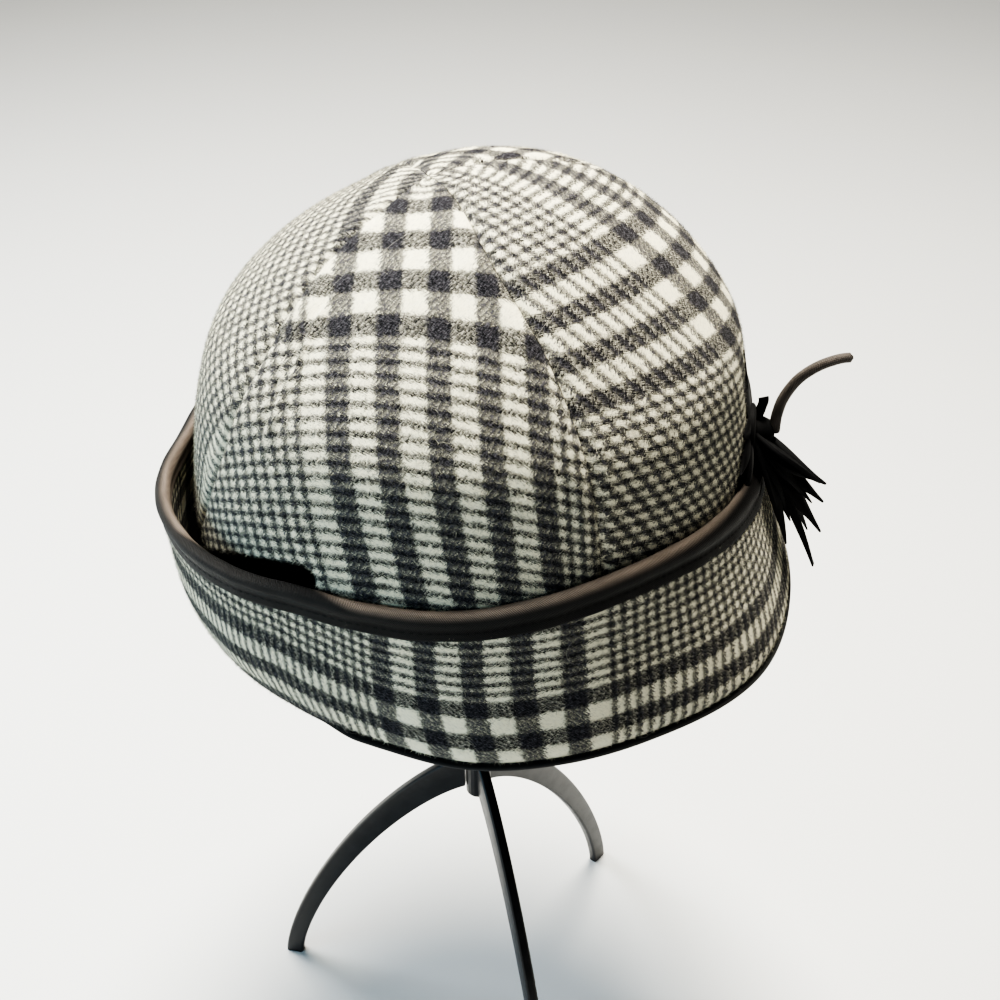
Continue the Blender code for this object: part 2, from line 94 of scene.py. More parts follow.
# Flower
FLOWER_AZIMUTH = -9.0
FLOWER_HEIGHT = 0.0560
BACKING_RADIUS = 0.0085
BACKING_THICKNESS = 0.0030
KNOT_RADIUS = 0.0046
KNOT_LENGTH = 0.0075
KNOT_BEAD = 0.0011
PETAL_LENGTH = 0.0620
PETAL_WIDTH = 0.0085
PETAL_THICKNESS = 0.0014
PETAL_ROOT = 0.30
PETAL_WAVES = (2.4, 5.4)
PETAL_WAVE_TURN = 0.12
BEAD_OUT = 0.93
BEAD_DOWN = 0.62
STEM_RADIUS = 0.0012
STEM_GIRTH = 1.5
STEM_TAPER = 0.16
STEM_TIP = (0.965, 1.0)
STEM_TIP_LOSS = 0.75
STEM_SEAM = (-0.16, 120.0, 14.0)
STEM_RISE = 0.0280
STEM_REACH = 0.0215

# Stand
LEG_AZIMUTH = 50.0
FOOT_REACH = 0.0940
LEG_RISE = 0.1580
FOOT_LENGTH = 0.0080
LEG_DEPTH = 0.0180
LEG_CURVE = 1.36
BLADE = 0.0042
BLADE_ROUND = 0.0012
HUB_RADIUS = 0.0050

# Plaid, counted in yarns
WARP_PITCH = 0.000475
WEFT_PITCH = 0.000511
BAR = 14
CHECK = 4
WARP_BARS = 10
WARP_CHECKS = 26
WEFT_BARS = 7
WEFT_CHECKS = 24.5
EDGE_BLUR = 1.3
FUZZ = 9.0
DARK_SPREAD = 1.6
GAP_SHADE = "painted_gap_shade"

# Which yarn shows where two cross: how much its height, its darkness and the fibres' grain count
LEAD_BY_HEIGHT = 0.30
LEAD_BY_DARK = 0.75
LEAD_BY_GRAIN = 5.0

# Fibres drawn out of the yarns: degrees turned, length and width, and where the noise is read. SWAY
# is how far the yarns wander.
STRANDS = (-52.0, (3.4, 0.8), (5.0, 9.0, 0.0))
CROSSING = (24.0, (2.6, 0.7), (17.0, 3.0, 0.0))
SWAY = 3.2
SWAY_SCALE = 0.30

# Tape's weave, and the painted highlight and painted shadow on its fold, mm across the tape
TWILL_PITCH = 0.62
THREAD_PITCH = 0.40
FOLD_HIGHLIGHT_FROM = 6.9
FOLD_HIGHLIGHT_WIDTH = 2.6
FOLD_SHADOW_SHIFT = 5.5
HALF_SHADOW = 0.36

# Where painted shadow takes the highlight off the tape's fold, wholly and by half: azimuths from which
# and to which it fades
FOLD_SHADOW_START = (-108.0, -124.0)
FOLD_SHADOW_END = (-152.0, -138.0)
HALF_SHADOW_RIGHT = (-60.0, -20.0)
HALF_SHADOW_LEFT = (-138.0, -152.0)

# Colours of the plaid's yarns and the painted shade of the wool deep in the gap behind the flap
IVORY = (0.95, 0.91, 0.71, 1.0)
IVORY_SHADE = (0.64, 0.61, 0.49, 1.0)
CHARCOAL = (0.005, 0.005, 0.007, 1.0)
CHARCOAL_LIT = (0.110, 0.105, 0.120, 1.0)
IN_SHADE = (0.002, 0.002, 0.0022, 1.0)

# Colours of the ground and of what shows over it, then the roughness
LOOSE_HAIR = ((0.40, 0.38, 0.34, 1.0), (0.60, 0.57, 0.52, 1.0), 0.6)
# On the bias tape, what shows over the ground is the painted highlight on the fold's top, mottled at
# random.
BIAS_TAPE = ((0.0050, 0.0046, 0.0046, 1.0), (0.29, 0.235, 0.195, 1.0), 0.50)
BEAD_TAPE = ((0.006, 0.006, 0.007, 1.0), (0.018, 0.017, 0.017, 1.0), 0.55)
THREAD = ((0.010, 0.010, 0.010, 1.0), (0.040, 0.036, 0.034, 1.0), 0.5)
PETAL_FELT = ((0.0025, 0.0025, 0.003, 1.0), (0.007, 0.007, 0.008, 1.0), 0.75)
STEM_CLOTH = ((0.045, 0.038, 0.034, 1.0), (0.17, 0.145, 0.125, 1.0), 0.50)
PLASTIC = ((0.005, 0.005, 0.006, 1.0), (0.012, 0.012, 0.014, 1.0))
FLOOR = ((0.70, 0.70, 0.69, 1.0), (0.74, 0.74, 0.73, 1.0))

# Low ridges of the sewn wool: how high, how far from the seam or the tape, and how wide
SEAM_PUFF = (0.00045, 0.0042, 0.0026)
SEAM_DIP = (-0.0007, 0.0, 0.0010)
BAND_PUFF = (0.0006, -0.003, 0.0035)
PUFFS_BEGIN = (0.02, 0.10)

# Other low relief of the wool and the tape
WAVE_HEIGHT = 0.00035
SEAM_CALM = 0.01
HEM_CALM = (0.002, 0.012)
GORE_WAVE = 0.045
BAND_WAVE = 0.040
HEM_ROUND = 0.0012
HEM_ROUND_HEIGHT = 0.0016
TAPE_WAVE = 0.014
TAPE_RELIEF = 0.00016
STITCH_PULL_WIDTH = 0.0009
FOLD_STARTS = (0.0045, 0.0060)

# Stitches
STITCH_LENGTH = 0.0017
STITCH_WIDTH = 0.00032
STITCH_RISE = 0.00014
STITCH_SECTIONS = ((-1.0, 0.35), (-0.6, 0.9), (0.0, 1.0), (0.6, 0.9), (1.0, 0.35))
STITCH_SIDES = 6

# The binding under the wool is tucked in at the left from the first azimuth to the second.
RIM_TUCK = 0.0022
RIM_TUCK_AT = (-110.0, -119.0)

# Nap and loose fibres
GORE_NAP = 90000
BAND_NAP = 120000
NAP_REACH = (0.0007, 0.0019)
NAP_RISE = (0.08, 0.6)
NAP_WIDTH = (0.00003, 0.00007)
NAP_ROOT = 0.00008
GORE_LINT = 18
BAND_LINT = 40
LINT_LENGTH = (0.004, 0.017)
LINT_WIDTH = 0.00006
LINT_OFF = 0.0004
LINT_ARCH = (0.0002, 0.0012)
LINT_BEND = 0.22
LINT_STEPS = 10
LINT_ROWS = (0.2, 0.95)
LINT_COLUMNS = (0.05, 0.95)

# Facets
GORE_COLUMNS = 90
GORE_ROWS = 112
BAND_STATIONS = 480
BAND_ROWS = 30
TAPE_STATIONS = 540
FLAT_CELLS = 32
COLUMN_CROWDING = 0.72
PETAL_STATIONS = 22
STEM_STATIONS = 60
STEM_SIDES = 20
TURNED_SIDES = 40
LEG_STATIONS = 44
CORNER_STEPS = 4
SHARP_ANGLE = 50.0
BAND_CROWDING = 0.9
RIM_TURNS = 9
RIPPLE_WAVES = 9
CREASE_POINTS = 80

# How far apart the ends of the flap and of the tapes stand at the back, degrees
BAND_OPENING = 0.04
TAPE_OPENING = 0.06

# Laying a gore flat: rows down and columns right of each spring, and its strength
SPRINGS = ((0, 1, 1.0), (1, 0, 1.0), (1, 1, 0.5), (1, -1, 0.5), (0, 2, 0.5), (2, 0, 0.5))
RELAX_ROUNDS = 2500
RELAX_STEP = 1.6
FLAT_TOP = 0.0045

# Seeds of the random draws
GORE_SEED = 11
BAND_SEED = 31
TAPE_SEED = 51
PETAL_SEED = 70
NAP_SEED = 200
BAND_NAP_SEED = 210
LINT_SEED = 300
BAND_LINT_SEED = 310

# The camera's place off the stand's axis and above the rim plane, and how far it looks down
CAMERA_RIGHT = 0.008755
CAMERA_FRONT = 0.3729
CAMERA_RISE = 0.3152
CAMERA_DOWN = 38.7
CAMERA_LENS = 50.4
CAMERA_SENSOR = 36.0

FLOOR_SIZE = 6.0
LIT_HEIGHT = 0.33
SKY = (0.90, 0.95, 1.0, 1.0)
SKY_STRENGTH = 0.06
LIGHTS = (
    # name, place, size, power, colour
    ("key", (0.02, 0.25, 1.36), 0.45, 44.0, (1.0, 0.955, 0.85)),
    ("back_left", (-0.75, 0.45, 0.95), 0.5, 10.0, (0.93, 0.97, 1.0)),
    ("front", (-0.55, -1.00, 0.45), 0.6, 3.0, (0.93, 0.98, 1.0)),
    ("fill", (-1.1, -0.50, 0.50), 0.8, 7.0, (0.40, 0.76, 1.0)),
)

# The crown's half profile from its top to the hem. rise is a share of the crown's height above the
# rim, reach a share of its half width.
CROWN_PROFILE = (
    # rise, reach
    (1.000, 0.000),
    (0.984, 0.190),
    (0.944, 0.380),
    (0.874, 0.560),
    (0.776, 0.740),
    (0.659, 0.880),
    (0.506, 0.943),
    (0.320, 0.975),
    (0.145, 1.000),
    (0.000, 1.000),
)

# The seams where two gores meet: azimuths where down is each of SEAM_DOWNS.
SEAM_DOWNS = (0.0, 0.2, 0.4, 0.6, 0.8, 1.0)
SEAMS = (
    # gore that follows, then the azimuths
    ("front", -134, -138, -136, -144, -158, -166),
    ("right", -60, -66.5, -62.7, -61.3, -60.5, -60),
    ("back", 18, 18, 18, 18, 18, 18),
    ("left", 110, 110, 110, 110, 110, 110),
)

# The flap by azimuth. rim is a share of RIM_FLARE, top a share of FLAP_HEIGHT, off a share of
# FLAP_STAND_OFF and tuck a share of FLAP_TUCK.
FLAP = (
    # azimuth, rim, top, off, tuck
    (-180, 0.17, 0.80, 0.30, 0.60),
    (-165, 0.06, 0.80, 1.00, 0.90),
    (-150, 0.00, 0.82, 1.00, 1.00),
    (-135, 0.00, 0.86, 0.62, 1.00),
    (-120, 0.00, 0.90, 0.05, 0.70),
    (-105, 0.06, 0.92, 0.00, 0.25),
    (-90, 0.33, 0.94, 0.00, 0.05),
    (-75, 0.44, 0.99, 0.00, 0.02),
    (-60, 0.57, 1.02, 0.00, 0.00),
    (-35, 0.98, 0.935, 0.00, 0.05),
    (-15, 0.87, 0.81, 0.00, 0.10),
    (0, 0.78, 0.75, 0.00, 0.10),
    (30, 0.67, 0.76, 0.00, 0.05),
    (60, 0.46, 0.84, 0.00, 0.00),
    (90, 0.28, 0.88, 0.00, 0.00),
    (120, 0.20, 0.88, 0.00, 0.05),
    (150, 0.19, 0.85, 0.00, 0.20),
)

# How each gore was laid on the plaid before it was cut: the warp and weft distances in mm at a point
# x mm right of the gore's middle and y mm below its top. bend works on (130 - y)**2 / 1000 above
# y = 130, and bow on x**2 / 1000.
BEND_FROM = 130.0
CUTS = (
    # gore, yarns, start, per x, per y, bend, bow
    ("front", "warp", 23.42, 0.863, -0.169, 0.414, 1.85),
    ("front", "weft", -9.58, 0.113, 1.040, 0.0, -2.82),
    ("right", "warp", 52.87, 0.896, -0.464, -3.409, 0.0),
    ("right", "weft", -54.87, -0.233, 1.044, 0.0, 2.67),
    ("back", "warp", 30.0, 1.0, 0.0, 0.0, 0.0),
    ("back", "weft", -12.0, 0.0, 1.0, 0.0, 0.0),
    ("left", "warp", 88.0, 1.0, 0.06, 0.0, 0.0),
    ("left", "weft", 32.0, 0.0, 1.0, 0.0, 0.0),
)

# The flap's cut size in metres. It was cut the other way up: its bars start BAND_BAR mm right of the
# middle of the front, which is at the azimuth BAND_FRONT, and its rows BAND_ROW mm above the rim. The
# rows lie BAND_STRETCH times closer. A column leans about BAND_PIVOT and less above LEAN_RISE, in mm.
BAND_FRONT = -90.0
BAND_BAR = 41.2
BAND_ROW = 23.3
BAND_STRETCH = 1.217
BAND_PIVOT = 11.0
BAND_CHECKS = 40
LEAN_RISE = 20.0

# How the flap's plaid is pulled out of square, by mm right of the middle of the front.
BAND_PULL = (
    # place, mm a column leans left for each mm up, mm a row is lifted, mm of cloth let out
    (-220, 0.30, 2.0, -34.0),
    (-150, 0.40, 6.0, -32.0),
    (-110, 0.55, 8.0, -26.0),
    (-70, 0.62, 8.0, -13.0),
    (-60, 0.55, 7.6, -9.4),
    (-50, 0.45, 5.8, -5.8),
    (-40, 0.34, 4.0, -2.4),
    (-28, 0.28, 1.4, 1.2),
    (-14, 0.28, 0.3, 1.7),
    (10, 0.22, 0.0, 1.6),
    (38, 0.00, 0.4, 0.3),
    (75, -0.20, 0.0, 0.0),
    (100, -0.25, -0.4, 0.0),
    (200, -0.10, -1.0, 0.0),
)

# How deep the wool falls in along each seam, and the share down where that begins.
VALLEY_WIDTH = 0.0085
VALLEY_FADE = 0.25
VALLEYS = {
    # gore that follows the seam: depth, start
    "front": (0.0007, 0.30),
    "right": (0.0026, 0.62),
    "back": (0.0008, 0.30),
    "left": (0.0008, 0.30),
}

# Where the crown's wool overhangs the gap behind the flap: azimuths, the line where it turns in,
# over what height, and how deep. The next six values give where painted shade darkens the crown's
# wool in the gap and then the flap's inside: azimuths, and how far down, for the flap a share of its
# height.
TUCK_FROM = -118.0
TUCK_TO = -172.0
TUCK_FADE = 5.0
SHADE_FROM = (-116.0, -121.0)
SHADE_TO = (-194.0, -178.0)
SHADE_BELOW = (0.0008, 0.0036)
BAND_SHADE_FROM = (-108.0, -116.0)
BAND_SHADE_TO = (-172.0, -160.0)
BAND_SHADE_BELOW = (0.45, 0.20)
TUCK_LINE = (
    # azimuth, mm above the flap's edge
    (-180.0, -17.0),
    (-165.0, -17.0),
    (-155.0, -15.4),
    (-148.7, -10.2),
    (-142.0, -4.6),
    (-138.0, -1.6),
    (-130.4, 2.8),
    (-124.0, 5.8),
    (-110.0, 6.0),
)
TUCK_TURN = 0.0032
TUCK_DEPTH = 0.0120
TUCK_HEM = 0.0180

# The fold pressed into the front gore beside its left seam, mm from the gore's middle and top. It
# rises along the path and dips beside it: how high in metres, then where and how wide in mm. It fades
# in and out between these distances from its ends.
CREASE_RIDGE = (0.0011, 0.0, 1.1)
CREASE_DIP = (-0.0009, -2.6, 2.0)
CREASE_START = (-6.0, 8.0)
CREASE_END = (-10.0, 6.0)
CREASE = (
    # x, y
    (-10.3, 38.0),
    (-13.5, 47.5),
    (-16.0, 54.5),
    (-17.6, 63.1),
    (-19.9, 73.1),
    (-22.2, 82.3),
    (-25.7, 92.0),
)

# The tape's outer skin from its lower edge outside, over the flap's edge and down inside. out is a
# share of TAPE off the wool's outside, up a share of TAPE_WIDTH above the wool's edge.
TAPE_SECTION = (
    # out, up
    (0.50, -1.18),
    (0.86, -1.14),
    (0.92, -0.90),
    (0.90, -0.64),
    (1.12, -0.50),
    (1.48, -0.36),
    (1.60, -0.20),
    (1.42, -0.05),
    (0.95, 0.07),
    (0.00, 0.15),
    (-1.30, 0.16),
    (-2.35, 0.08),
    (-2.95, -0.07),
    (-3.10, -0.24),
    (-2.95, -0.42),
    (-2.75, -0.56),
    (-2.75, -0.97),
)

# The petals. turn is degrees from straight up towards the viewer's side, lift degrees off the
# crown at the root and curl how far the tip bends back to it, length and width shares of
# PETAL_LENGTH and PETAL_WIDTH, tip the share of the width left at the tip, twist degrees.
PETALS = (
    # turn, lift, curl, length, width, tip, twist
    (-4, 0, 24, 0.60, 1.40, 0.05, 8),
    (-18, 2, 26, 0.44, 1.25, 0.05, 6),
    (2, -5, 2, 0.49, 0.42, 0.05, -10),
    (0, 46, 60, 0.22, 0.42, 0.90, 90),
    (-62, 6, 28, 0.42, 1.15, 0.05, 8),
    (-104, 10, 38, 0.50, 1.15, 0.05, -10),
    (62, 4, 26, 0.24, 1.30, 0.10, 10),
    (98, 5, 26, 0.34, 1.40, 0.05, -8),
    (128, 9, 26, 0.44, 1.40, 0.05, 10),
    (-140, 22, 30, 0.60, 1.20, 0.05, 12),
    (-160, 24, 24, 0.87, 1.30, 0.05, -14),
    (160, 31, 24, 0.65, 1.50, 0.05, -12),
    (-172, 33, 16, 0.81, 1.40, 0.05, 16),
    (170, 34, 18, 0.87, 0.62, 0.40, -8),
    (168, 30, 12, 0.56, 1.70, 0.05, 24),
    (178, 37, 10, 0.75, 1.45, 0.05, -20),
    (174, 42, 8, 0.54, 1.75, 0.05, 28),
    (176, 45, 5, 0.58, 1.40, 0.05, -24),
    (150, 54, 0, 0.44, 1.50, 0.05, 20),
    (170, 53, 0, 0.49, 1.60, 0.05, -22),
)

# Across a petal and back: shares of its half width and of its half thickness.
PETAL_SECTION = (
    (-1.0, 0.25), (-0.96, 1.0), (-0.5, 1.0), (0.0, 1.0), (0.5, 1.0), (0.96, 1.0), (1.0, 0.25)
)

# The backing's and the knot's half profiles: shares of the radius and of the height. PIN is the
# least radius.
BACKING_PROFILE = ((0.5, 0.0), (1.0, 0.1), (1.0, 0.8), (0.9, 1.0), (0.0, 1.0))
KNOT_PROFILE = ((0.8, 0.0), (1.0, 0.3), (0.95, 0.6), (0.72, 0.85), (0.4, 0.97), (0.0, 1.0))
PIN = 0.0002

# The stem's route beyond its root. up is a share of STEM_RISE, out of STEM_REACH.
STEM = (
    # up, out
    (0.00, 0.00),
    (0.22, 0.02),
    (0.46, 0.10),
    (0.70, 0.28),
    (0.87, 0.53),
    (0.97, 0.80),
    (1.00, 1.00),
)


def hermite(xs, ys, x):
    """A smooth curve through the points (xs, ys), read at x."""
    xs = np.asarray(xs, float)
    ys = np.asarray(ys, float)
    x = np.asarray(x, float)
    slopes = np.gradient(ys, xs)
    i = np.clip(np.searchsorted(xs, x) - 1, 0, len(xs) - 2)
    span = xs[i + 1] - xs[i]
    t = (x - xs[i]) / span
    value = (2 * t**3 - 3 * t**2 + 1) * ys[i] + (3 * t**2 - 2 * t**3) * ys[i + 1]
    bend = (t**3 - 2 * t**2 + t) * slopes[i] + (t**3 - t**2) * slopes[i + 1]
    return value + span * bend


def around(table, column, azimuth):
    """A column of a table whose first column is an azimuth, read smoothly all the way round."""
    angles = [row[0] for row in table]
    values = [row[column] for row in table]
    turned = (np.asarray(azimuth, float) - angles[0]) % 360 + angles[0]
    xs = [a - 360 for a in angles] + angles + [a + 360 for a in angles]
    return hermite(xs, values * 3, turned)


def smooth(low, high, x):
    """0 below low, 1 above high and smooth between."""
    t = np.clip((np.asarray(x, float) - low) / (high - low), 0.0, 1.0)
    return t * t * (3 - 2 * t)


def length(vectors):
    return np.linalg.norm(vectors, axis=-1)


def unit(vectors):
    return vectors / np.maximum(length(vectors), 1e-12)[..., None]


def ridge(x, height, middle, width):
    """As high as height at middle, falling off softly over width on both sides."""
    return height * np.exp(-(((x - middle) / width) ** 2))


def run_along(line):
    """Distance along a line of points from its first."""
    return np.concatenate([[0.0], np.cumsum(length(np.diff(line, axis=0)))])


def run_across(grid):
    """Distance along each row of a grid of points from its first."""
    steps = length(np.diff(grid, axis=1))
    return np.concatenate([np.zeros((len(grid), 1)), np.cumsum(steps, 1)], 1)


def cell_areas(grid):
    """The area of each cell of a grid of points."""
    corner = grid[:-1, :-1]
    return length(np.cross(grid[1:, :-1] - corner, grid[:-1, 1:] - corner))


def read_grid(grid, i, j, s, t):
    """A grid between its points: the share s past row i and t past column j."""
    upper = grid[i, j] * (1 - t) + grid[i, j + 1] * t
    lower = grid[i + 1, j] * (1 - t) + grid[i + 1, j + 1] * t
    return upper * (1 - s) + lower * s


def all_round(stations, opening):
    """Azimuths round the cap from the back, the ends this many degrees apart."""
    return 90.0 + opening / 2 + (360.0 - opening) * np.arange(stations + 1) / stations


def polar(azimuth, radius, height):
    """Points of the cap at this azimuth, radius and height above the rim."""
    turn = np.radians(azimuth)
    x = AXIS[0] + radius * np.cos(turn)
    y = AXIS[1] + radius * np.sin(turn)
    return np.stack(np.broadcast_arrays(x, y, RIM_HEIGHT + height), -1)


def profile_curve():
    """Distance from the top along the half profile, with the rise and reach there."""
    half_width = CROWN_WIDTH / 2
    rows = [(CROWN_PROFILE[1][0], -CROWN_PROFILE[1][1])] + list(CROWN_PROFILE)
    steps = [
        math.hypot((b[0] - a[0]) * CROWN_HEIGHT, (b[1] - a[1]) * half_width)
        for a, b in zip(rows, rows[1:])
    ]
    return np.cumsum([-steps[0], *steps]), [row[0] for row in rows], [row[1] for row in rows]


PROFILE = profile_curve()
PROFILE_LENGTH = float(PROFILE[0][-1])


def rise_and_reach(down):
    """Height above the rim and reach share at a distance from the top, a share of the profile."""
    lengths, rises, reaches = PROFILE
    at = np.asarray(down, float) * PROFILE_LENGTH
    return hermite(lengths, rises, at) * CROWN_HEIGHT, hermite(lengths, reaches, at)


DOWNS = np.linspace(0, 1, 200)
RISES = rise_and_reach(DOWNS)[0]


def down_at(height):
    """The share of the profile at which the crown has this height."""
    return np.interp(-np.asarray(height, float), -RISES, DOWNS)


def lean(height):
    """The crown's middle at this height: the top leans over and the sides bulge a little."""
    share = np.maximum(0.0, np.asarray(height, float) / CROWN_HEIGHT)
    x = CROWN_LEAN_X * share**2 + CROWN_BULGE_X * 4 * share * (1 - share)
    return x, CROWN_LEAN_Y * share**2


def crown_radius(azimuth, height):
    """The distance from the stand's axis to the crown's outside, without the flare at the hem."""
    reach = rise_and_reach(down_at(height))[1]
    a, b = reach * CROWN_WIDTH / 2, reach * CROWN_LENGTH / 2
    middle_x, middle_y = lean(height)
    x, y = np.cos(np.radians(azimuth)), np.sin(np.radians(azimuth))
    square = (x / a) ** 2 + (y / b) ** 2
    cross = middle_x * x / a**2 + middle_y * y / b**2
    rest = (middle_x / a) ** 2 + (middle_y / b) ** 2 - 1
    return (cross + np.sqrt(cross**2 - square * rest)) / square


def rim_radius(azimuth):
    """The flap's outside at the rim plane."""
    return crown_radius(azimuth, 0.0) + 2 * WOOL + GAP + RIM_FLARE * around(FLAP, 1, azimuth)


def skin_radius(azimuth, height):
    """The crown's outside with the most that it flares there towards the rim."""
    flare = rim_radius(azimuth) - WOOL - GAP - crown_radius(azimuth, 0.0)
    return crown_radius(azimuth, height) + flare * np.maximum(0.0, 1 - height / FLARE_RISE) ** 2


def flap_top(azimuth):
    """Outside radius and height of the flap's upper wool edge, just under the tape's fold."""
    height = FLAP_HEIGHT * around(FLAP, 2, azimuth) - TAPE - GAP
    tape_and_wool = HUG_GAP + TAPE + GAP + WOOL
    off = np.maximum(0.0, FLAP_STAND_OFF * around(FLAP, 3, azimuth))
    lowest = height - TAPE_WIDTH
    inside = np.maximum(skin_radius(azimuth, height), skin_radius(azimuth, lowest) - TAPE_ROLL / 4)
    return inside + tape_and_wool + off, height


def flap_outside(azimuth, share):
    """Radius and height of the flap's outside, share 0 at the rim and 1 at the upper edge."""
    top_radius, top_height = flap_top(azimuth)
    tuck = FLAP_TUCK * around(FLAP, 4, azimuth)
    height = GAP + (top_height - GAP) * share
    belly = tuck * share * (1 - share) ** 2 / BELLY_PEAK
    return rim_radius(azimuth) * (1 - share) + top_radius * share + belly, height


def flap_section(azimuth, share):
    """Outside radius, inside radius and height of the flap, its wool as thick where it slants."""
    step = 0.01
    low, high = np.maximum(0.0, share - step), np.minimum(1.0, share + step)
    r0, z0 = flap_outside(azimuth, low)
    r1, z1 = flap_outside(azimuth, high)
    radius, height = flap_outside(azimuth, share)
    return radius, radius - WOOL * np.hypot(1.0, (r1 - r0) / (z1 - z0)), height


def hem_radius(azimuth):
    """The crown's outside at the hem, inside the flap."""
    return flap_section(azimuth, 0.0)[1] - GAP


def crown_outside(azimuth, down):
    """Points of the crown's outside. down runs from 0 where the seams meet to 1 at the hem."""
    azimuth, down = np.broadcast_arrays(np.asarray(azimuth, float), np.asarray(down, float))
    offset = APEX_OFFSET / PROFILE_LENGTH * (1 - down**2)
    turn, apex = np.radians(azimuth), math.radians(APEX_AZIMUTH)
    x = down * np.cos(turn) + offset * math.cos(apex)
    y = down * np.sin(turn) + offset * math.sin(apex)
    height, reach = rise_and_reach(np.minimum(1.0, np.hypot(x, y)))
    angle = np.arctan2(y, x)
    middle_x, middle_y = lean(height)
    px = middle_x + reach * CROWN_WIDTH / 2 * np.cos(angle)
    py = middle_y + reach * CROWN_LENGTH / 2 * np.sin(angle)
    turned = np.degrees(np.arctan2(py, px))
    spread = hem_radius(turned) / crown_radius(turned, 0.0) - 1
    swell = 1 + spread * np.maximum(0.0, 1 - height / FLARE_RISE) ** 2
    z = RIM_HEIGHT + np.maximum(height, GAP)
    return np.stack([AXIS[0] + px * swell, AXIS[1] + py * swell, z], -1)


def seam_azimuth(seam, down):
    """The azimuth of a seam this far down."""
    turns = SEAMS[seam % len(SEAMS)][1:]
    return hermite(SEAM_DOWNS, turns, down) + 360 * (seam // len(SEAMS))


def outward_normals(points):
    """Normals of a grid of points that face away from the cap's middle."""
    normals = unit(np.cross(np.gradient(points, axis=0), np.gradient(points, axis=1)))
    away = points - (AXIS + (0.0, 0.0, RIM_HEIGHT))
    sign = np.sign((normals * away).sum(-1))
    return normals * sign[..., None]


# Mesh building


def set_corner_map(data, corners):
    layer = data.uv_layers.new(name="cloth")
    layer.uv.foreach_set("vector", np.asarray(corners, np.float32).ravel())


def loft(name, loops, look, cloth=None):
    """A closed solid through loops of points, with a cloth map that has one more point a loop.

    Its two ends are closed across, from the first half of a loop to the second half turned back.
    """
    stations, count = loops.shape[:2]
    if cloth is None:
        cloth = np.zeros((stations, count + 1, 2))
    ring = np.arange(stations * count).reshape(stations, count)
    ring = np.concatenate([ring, ring[:, :1]], 1)
    corner = np.arange(stations * (count + 1)).reshape(stations, count + 1)

    def quads(grid):
        return np.stack([grid[:-1, :-1], grid[:-1, 1:], grid[1:, 1:], grid[1:, :-1]], -1).reshape(-1, 4)

    def ends(grid):
        i = np.arange(count // 2 - 1)
        turned = (i, i + 1, count - 2 - i, count - 1 - i)
        return [np.stack([loop[k] for k in turned], -1) for loop in (grid[0], grid[-1])]

    faces = np.concatenate([quads(ring), *ends(ring)])
    corners = np.concatenate([quads(corner), *ends(corner)])
    data = bpy.data.meshes.new(name)
    data.from_pydata(loops.reshape(-1, 3).tolist(), [], faces.tolist())
    set_corner_map(data, cloth.reshape(-1, 2)[corners.ravel()])
    return finish_piece(name, data, look)


def finish_piece(name, data, look, turn_out=True):
    """An object of this mesh, its faces turned outwards and shaded smooth between sharp edges."""
    if turn_out:
        mesh = bmesh.new()
        mesh.from_mesh(data)
        bmesh.ops.recalc_face_normals(mesh, faces=mesh.faces)
        mesh.to_mesh(data)
        mesh.free()
    data.shade_smooth()
    data.set_sharp_from_angle(angle=math.radians(SHARP_ANGLE))
    data.materials.append(look)
    piece = bpy.data.objects.new(name, data)
    bpy.context.scene.collection.objects.link(piece)
    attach(piece, "root")
    return piece


def fold_back(outer, inner):
    """Loops that run along the outside and back along the inside."""
    return np.concatenate([outer, inner[:, ::-1]], 1)


def fold_back_map(cloth):
    """The cloth map of such loops, with the closing point."""
    return np.concatenate([cloth, cloth[:, ::-1], cloth[:, :1]], 1)


def strip_map(run, across):
    """The cloth map of a strip, in mm along it and across it."""
    return 1000 * np.stack(np.broadcast_arrays(run[:, None], across[None, :]), -1)


def in_yarns(across, down):
    """A cloth map in yarns of the plaid from mm across and down it."""
    return np.stack([across / 1000 / WARP_PITCH, down / 1000 / WEFT_PITCH], -1)


# Materials


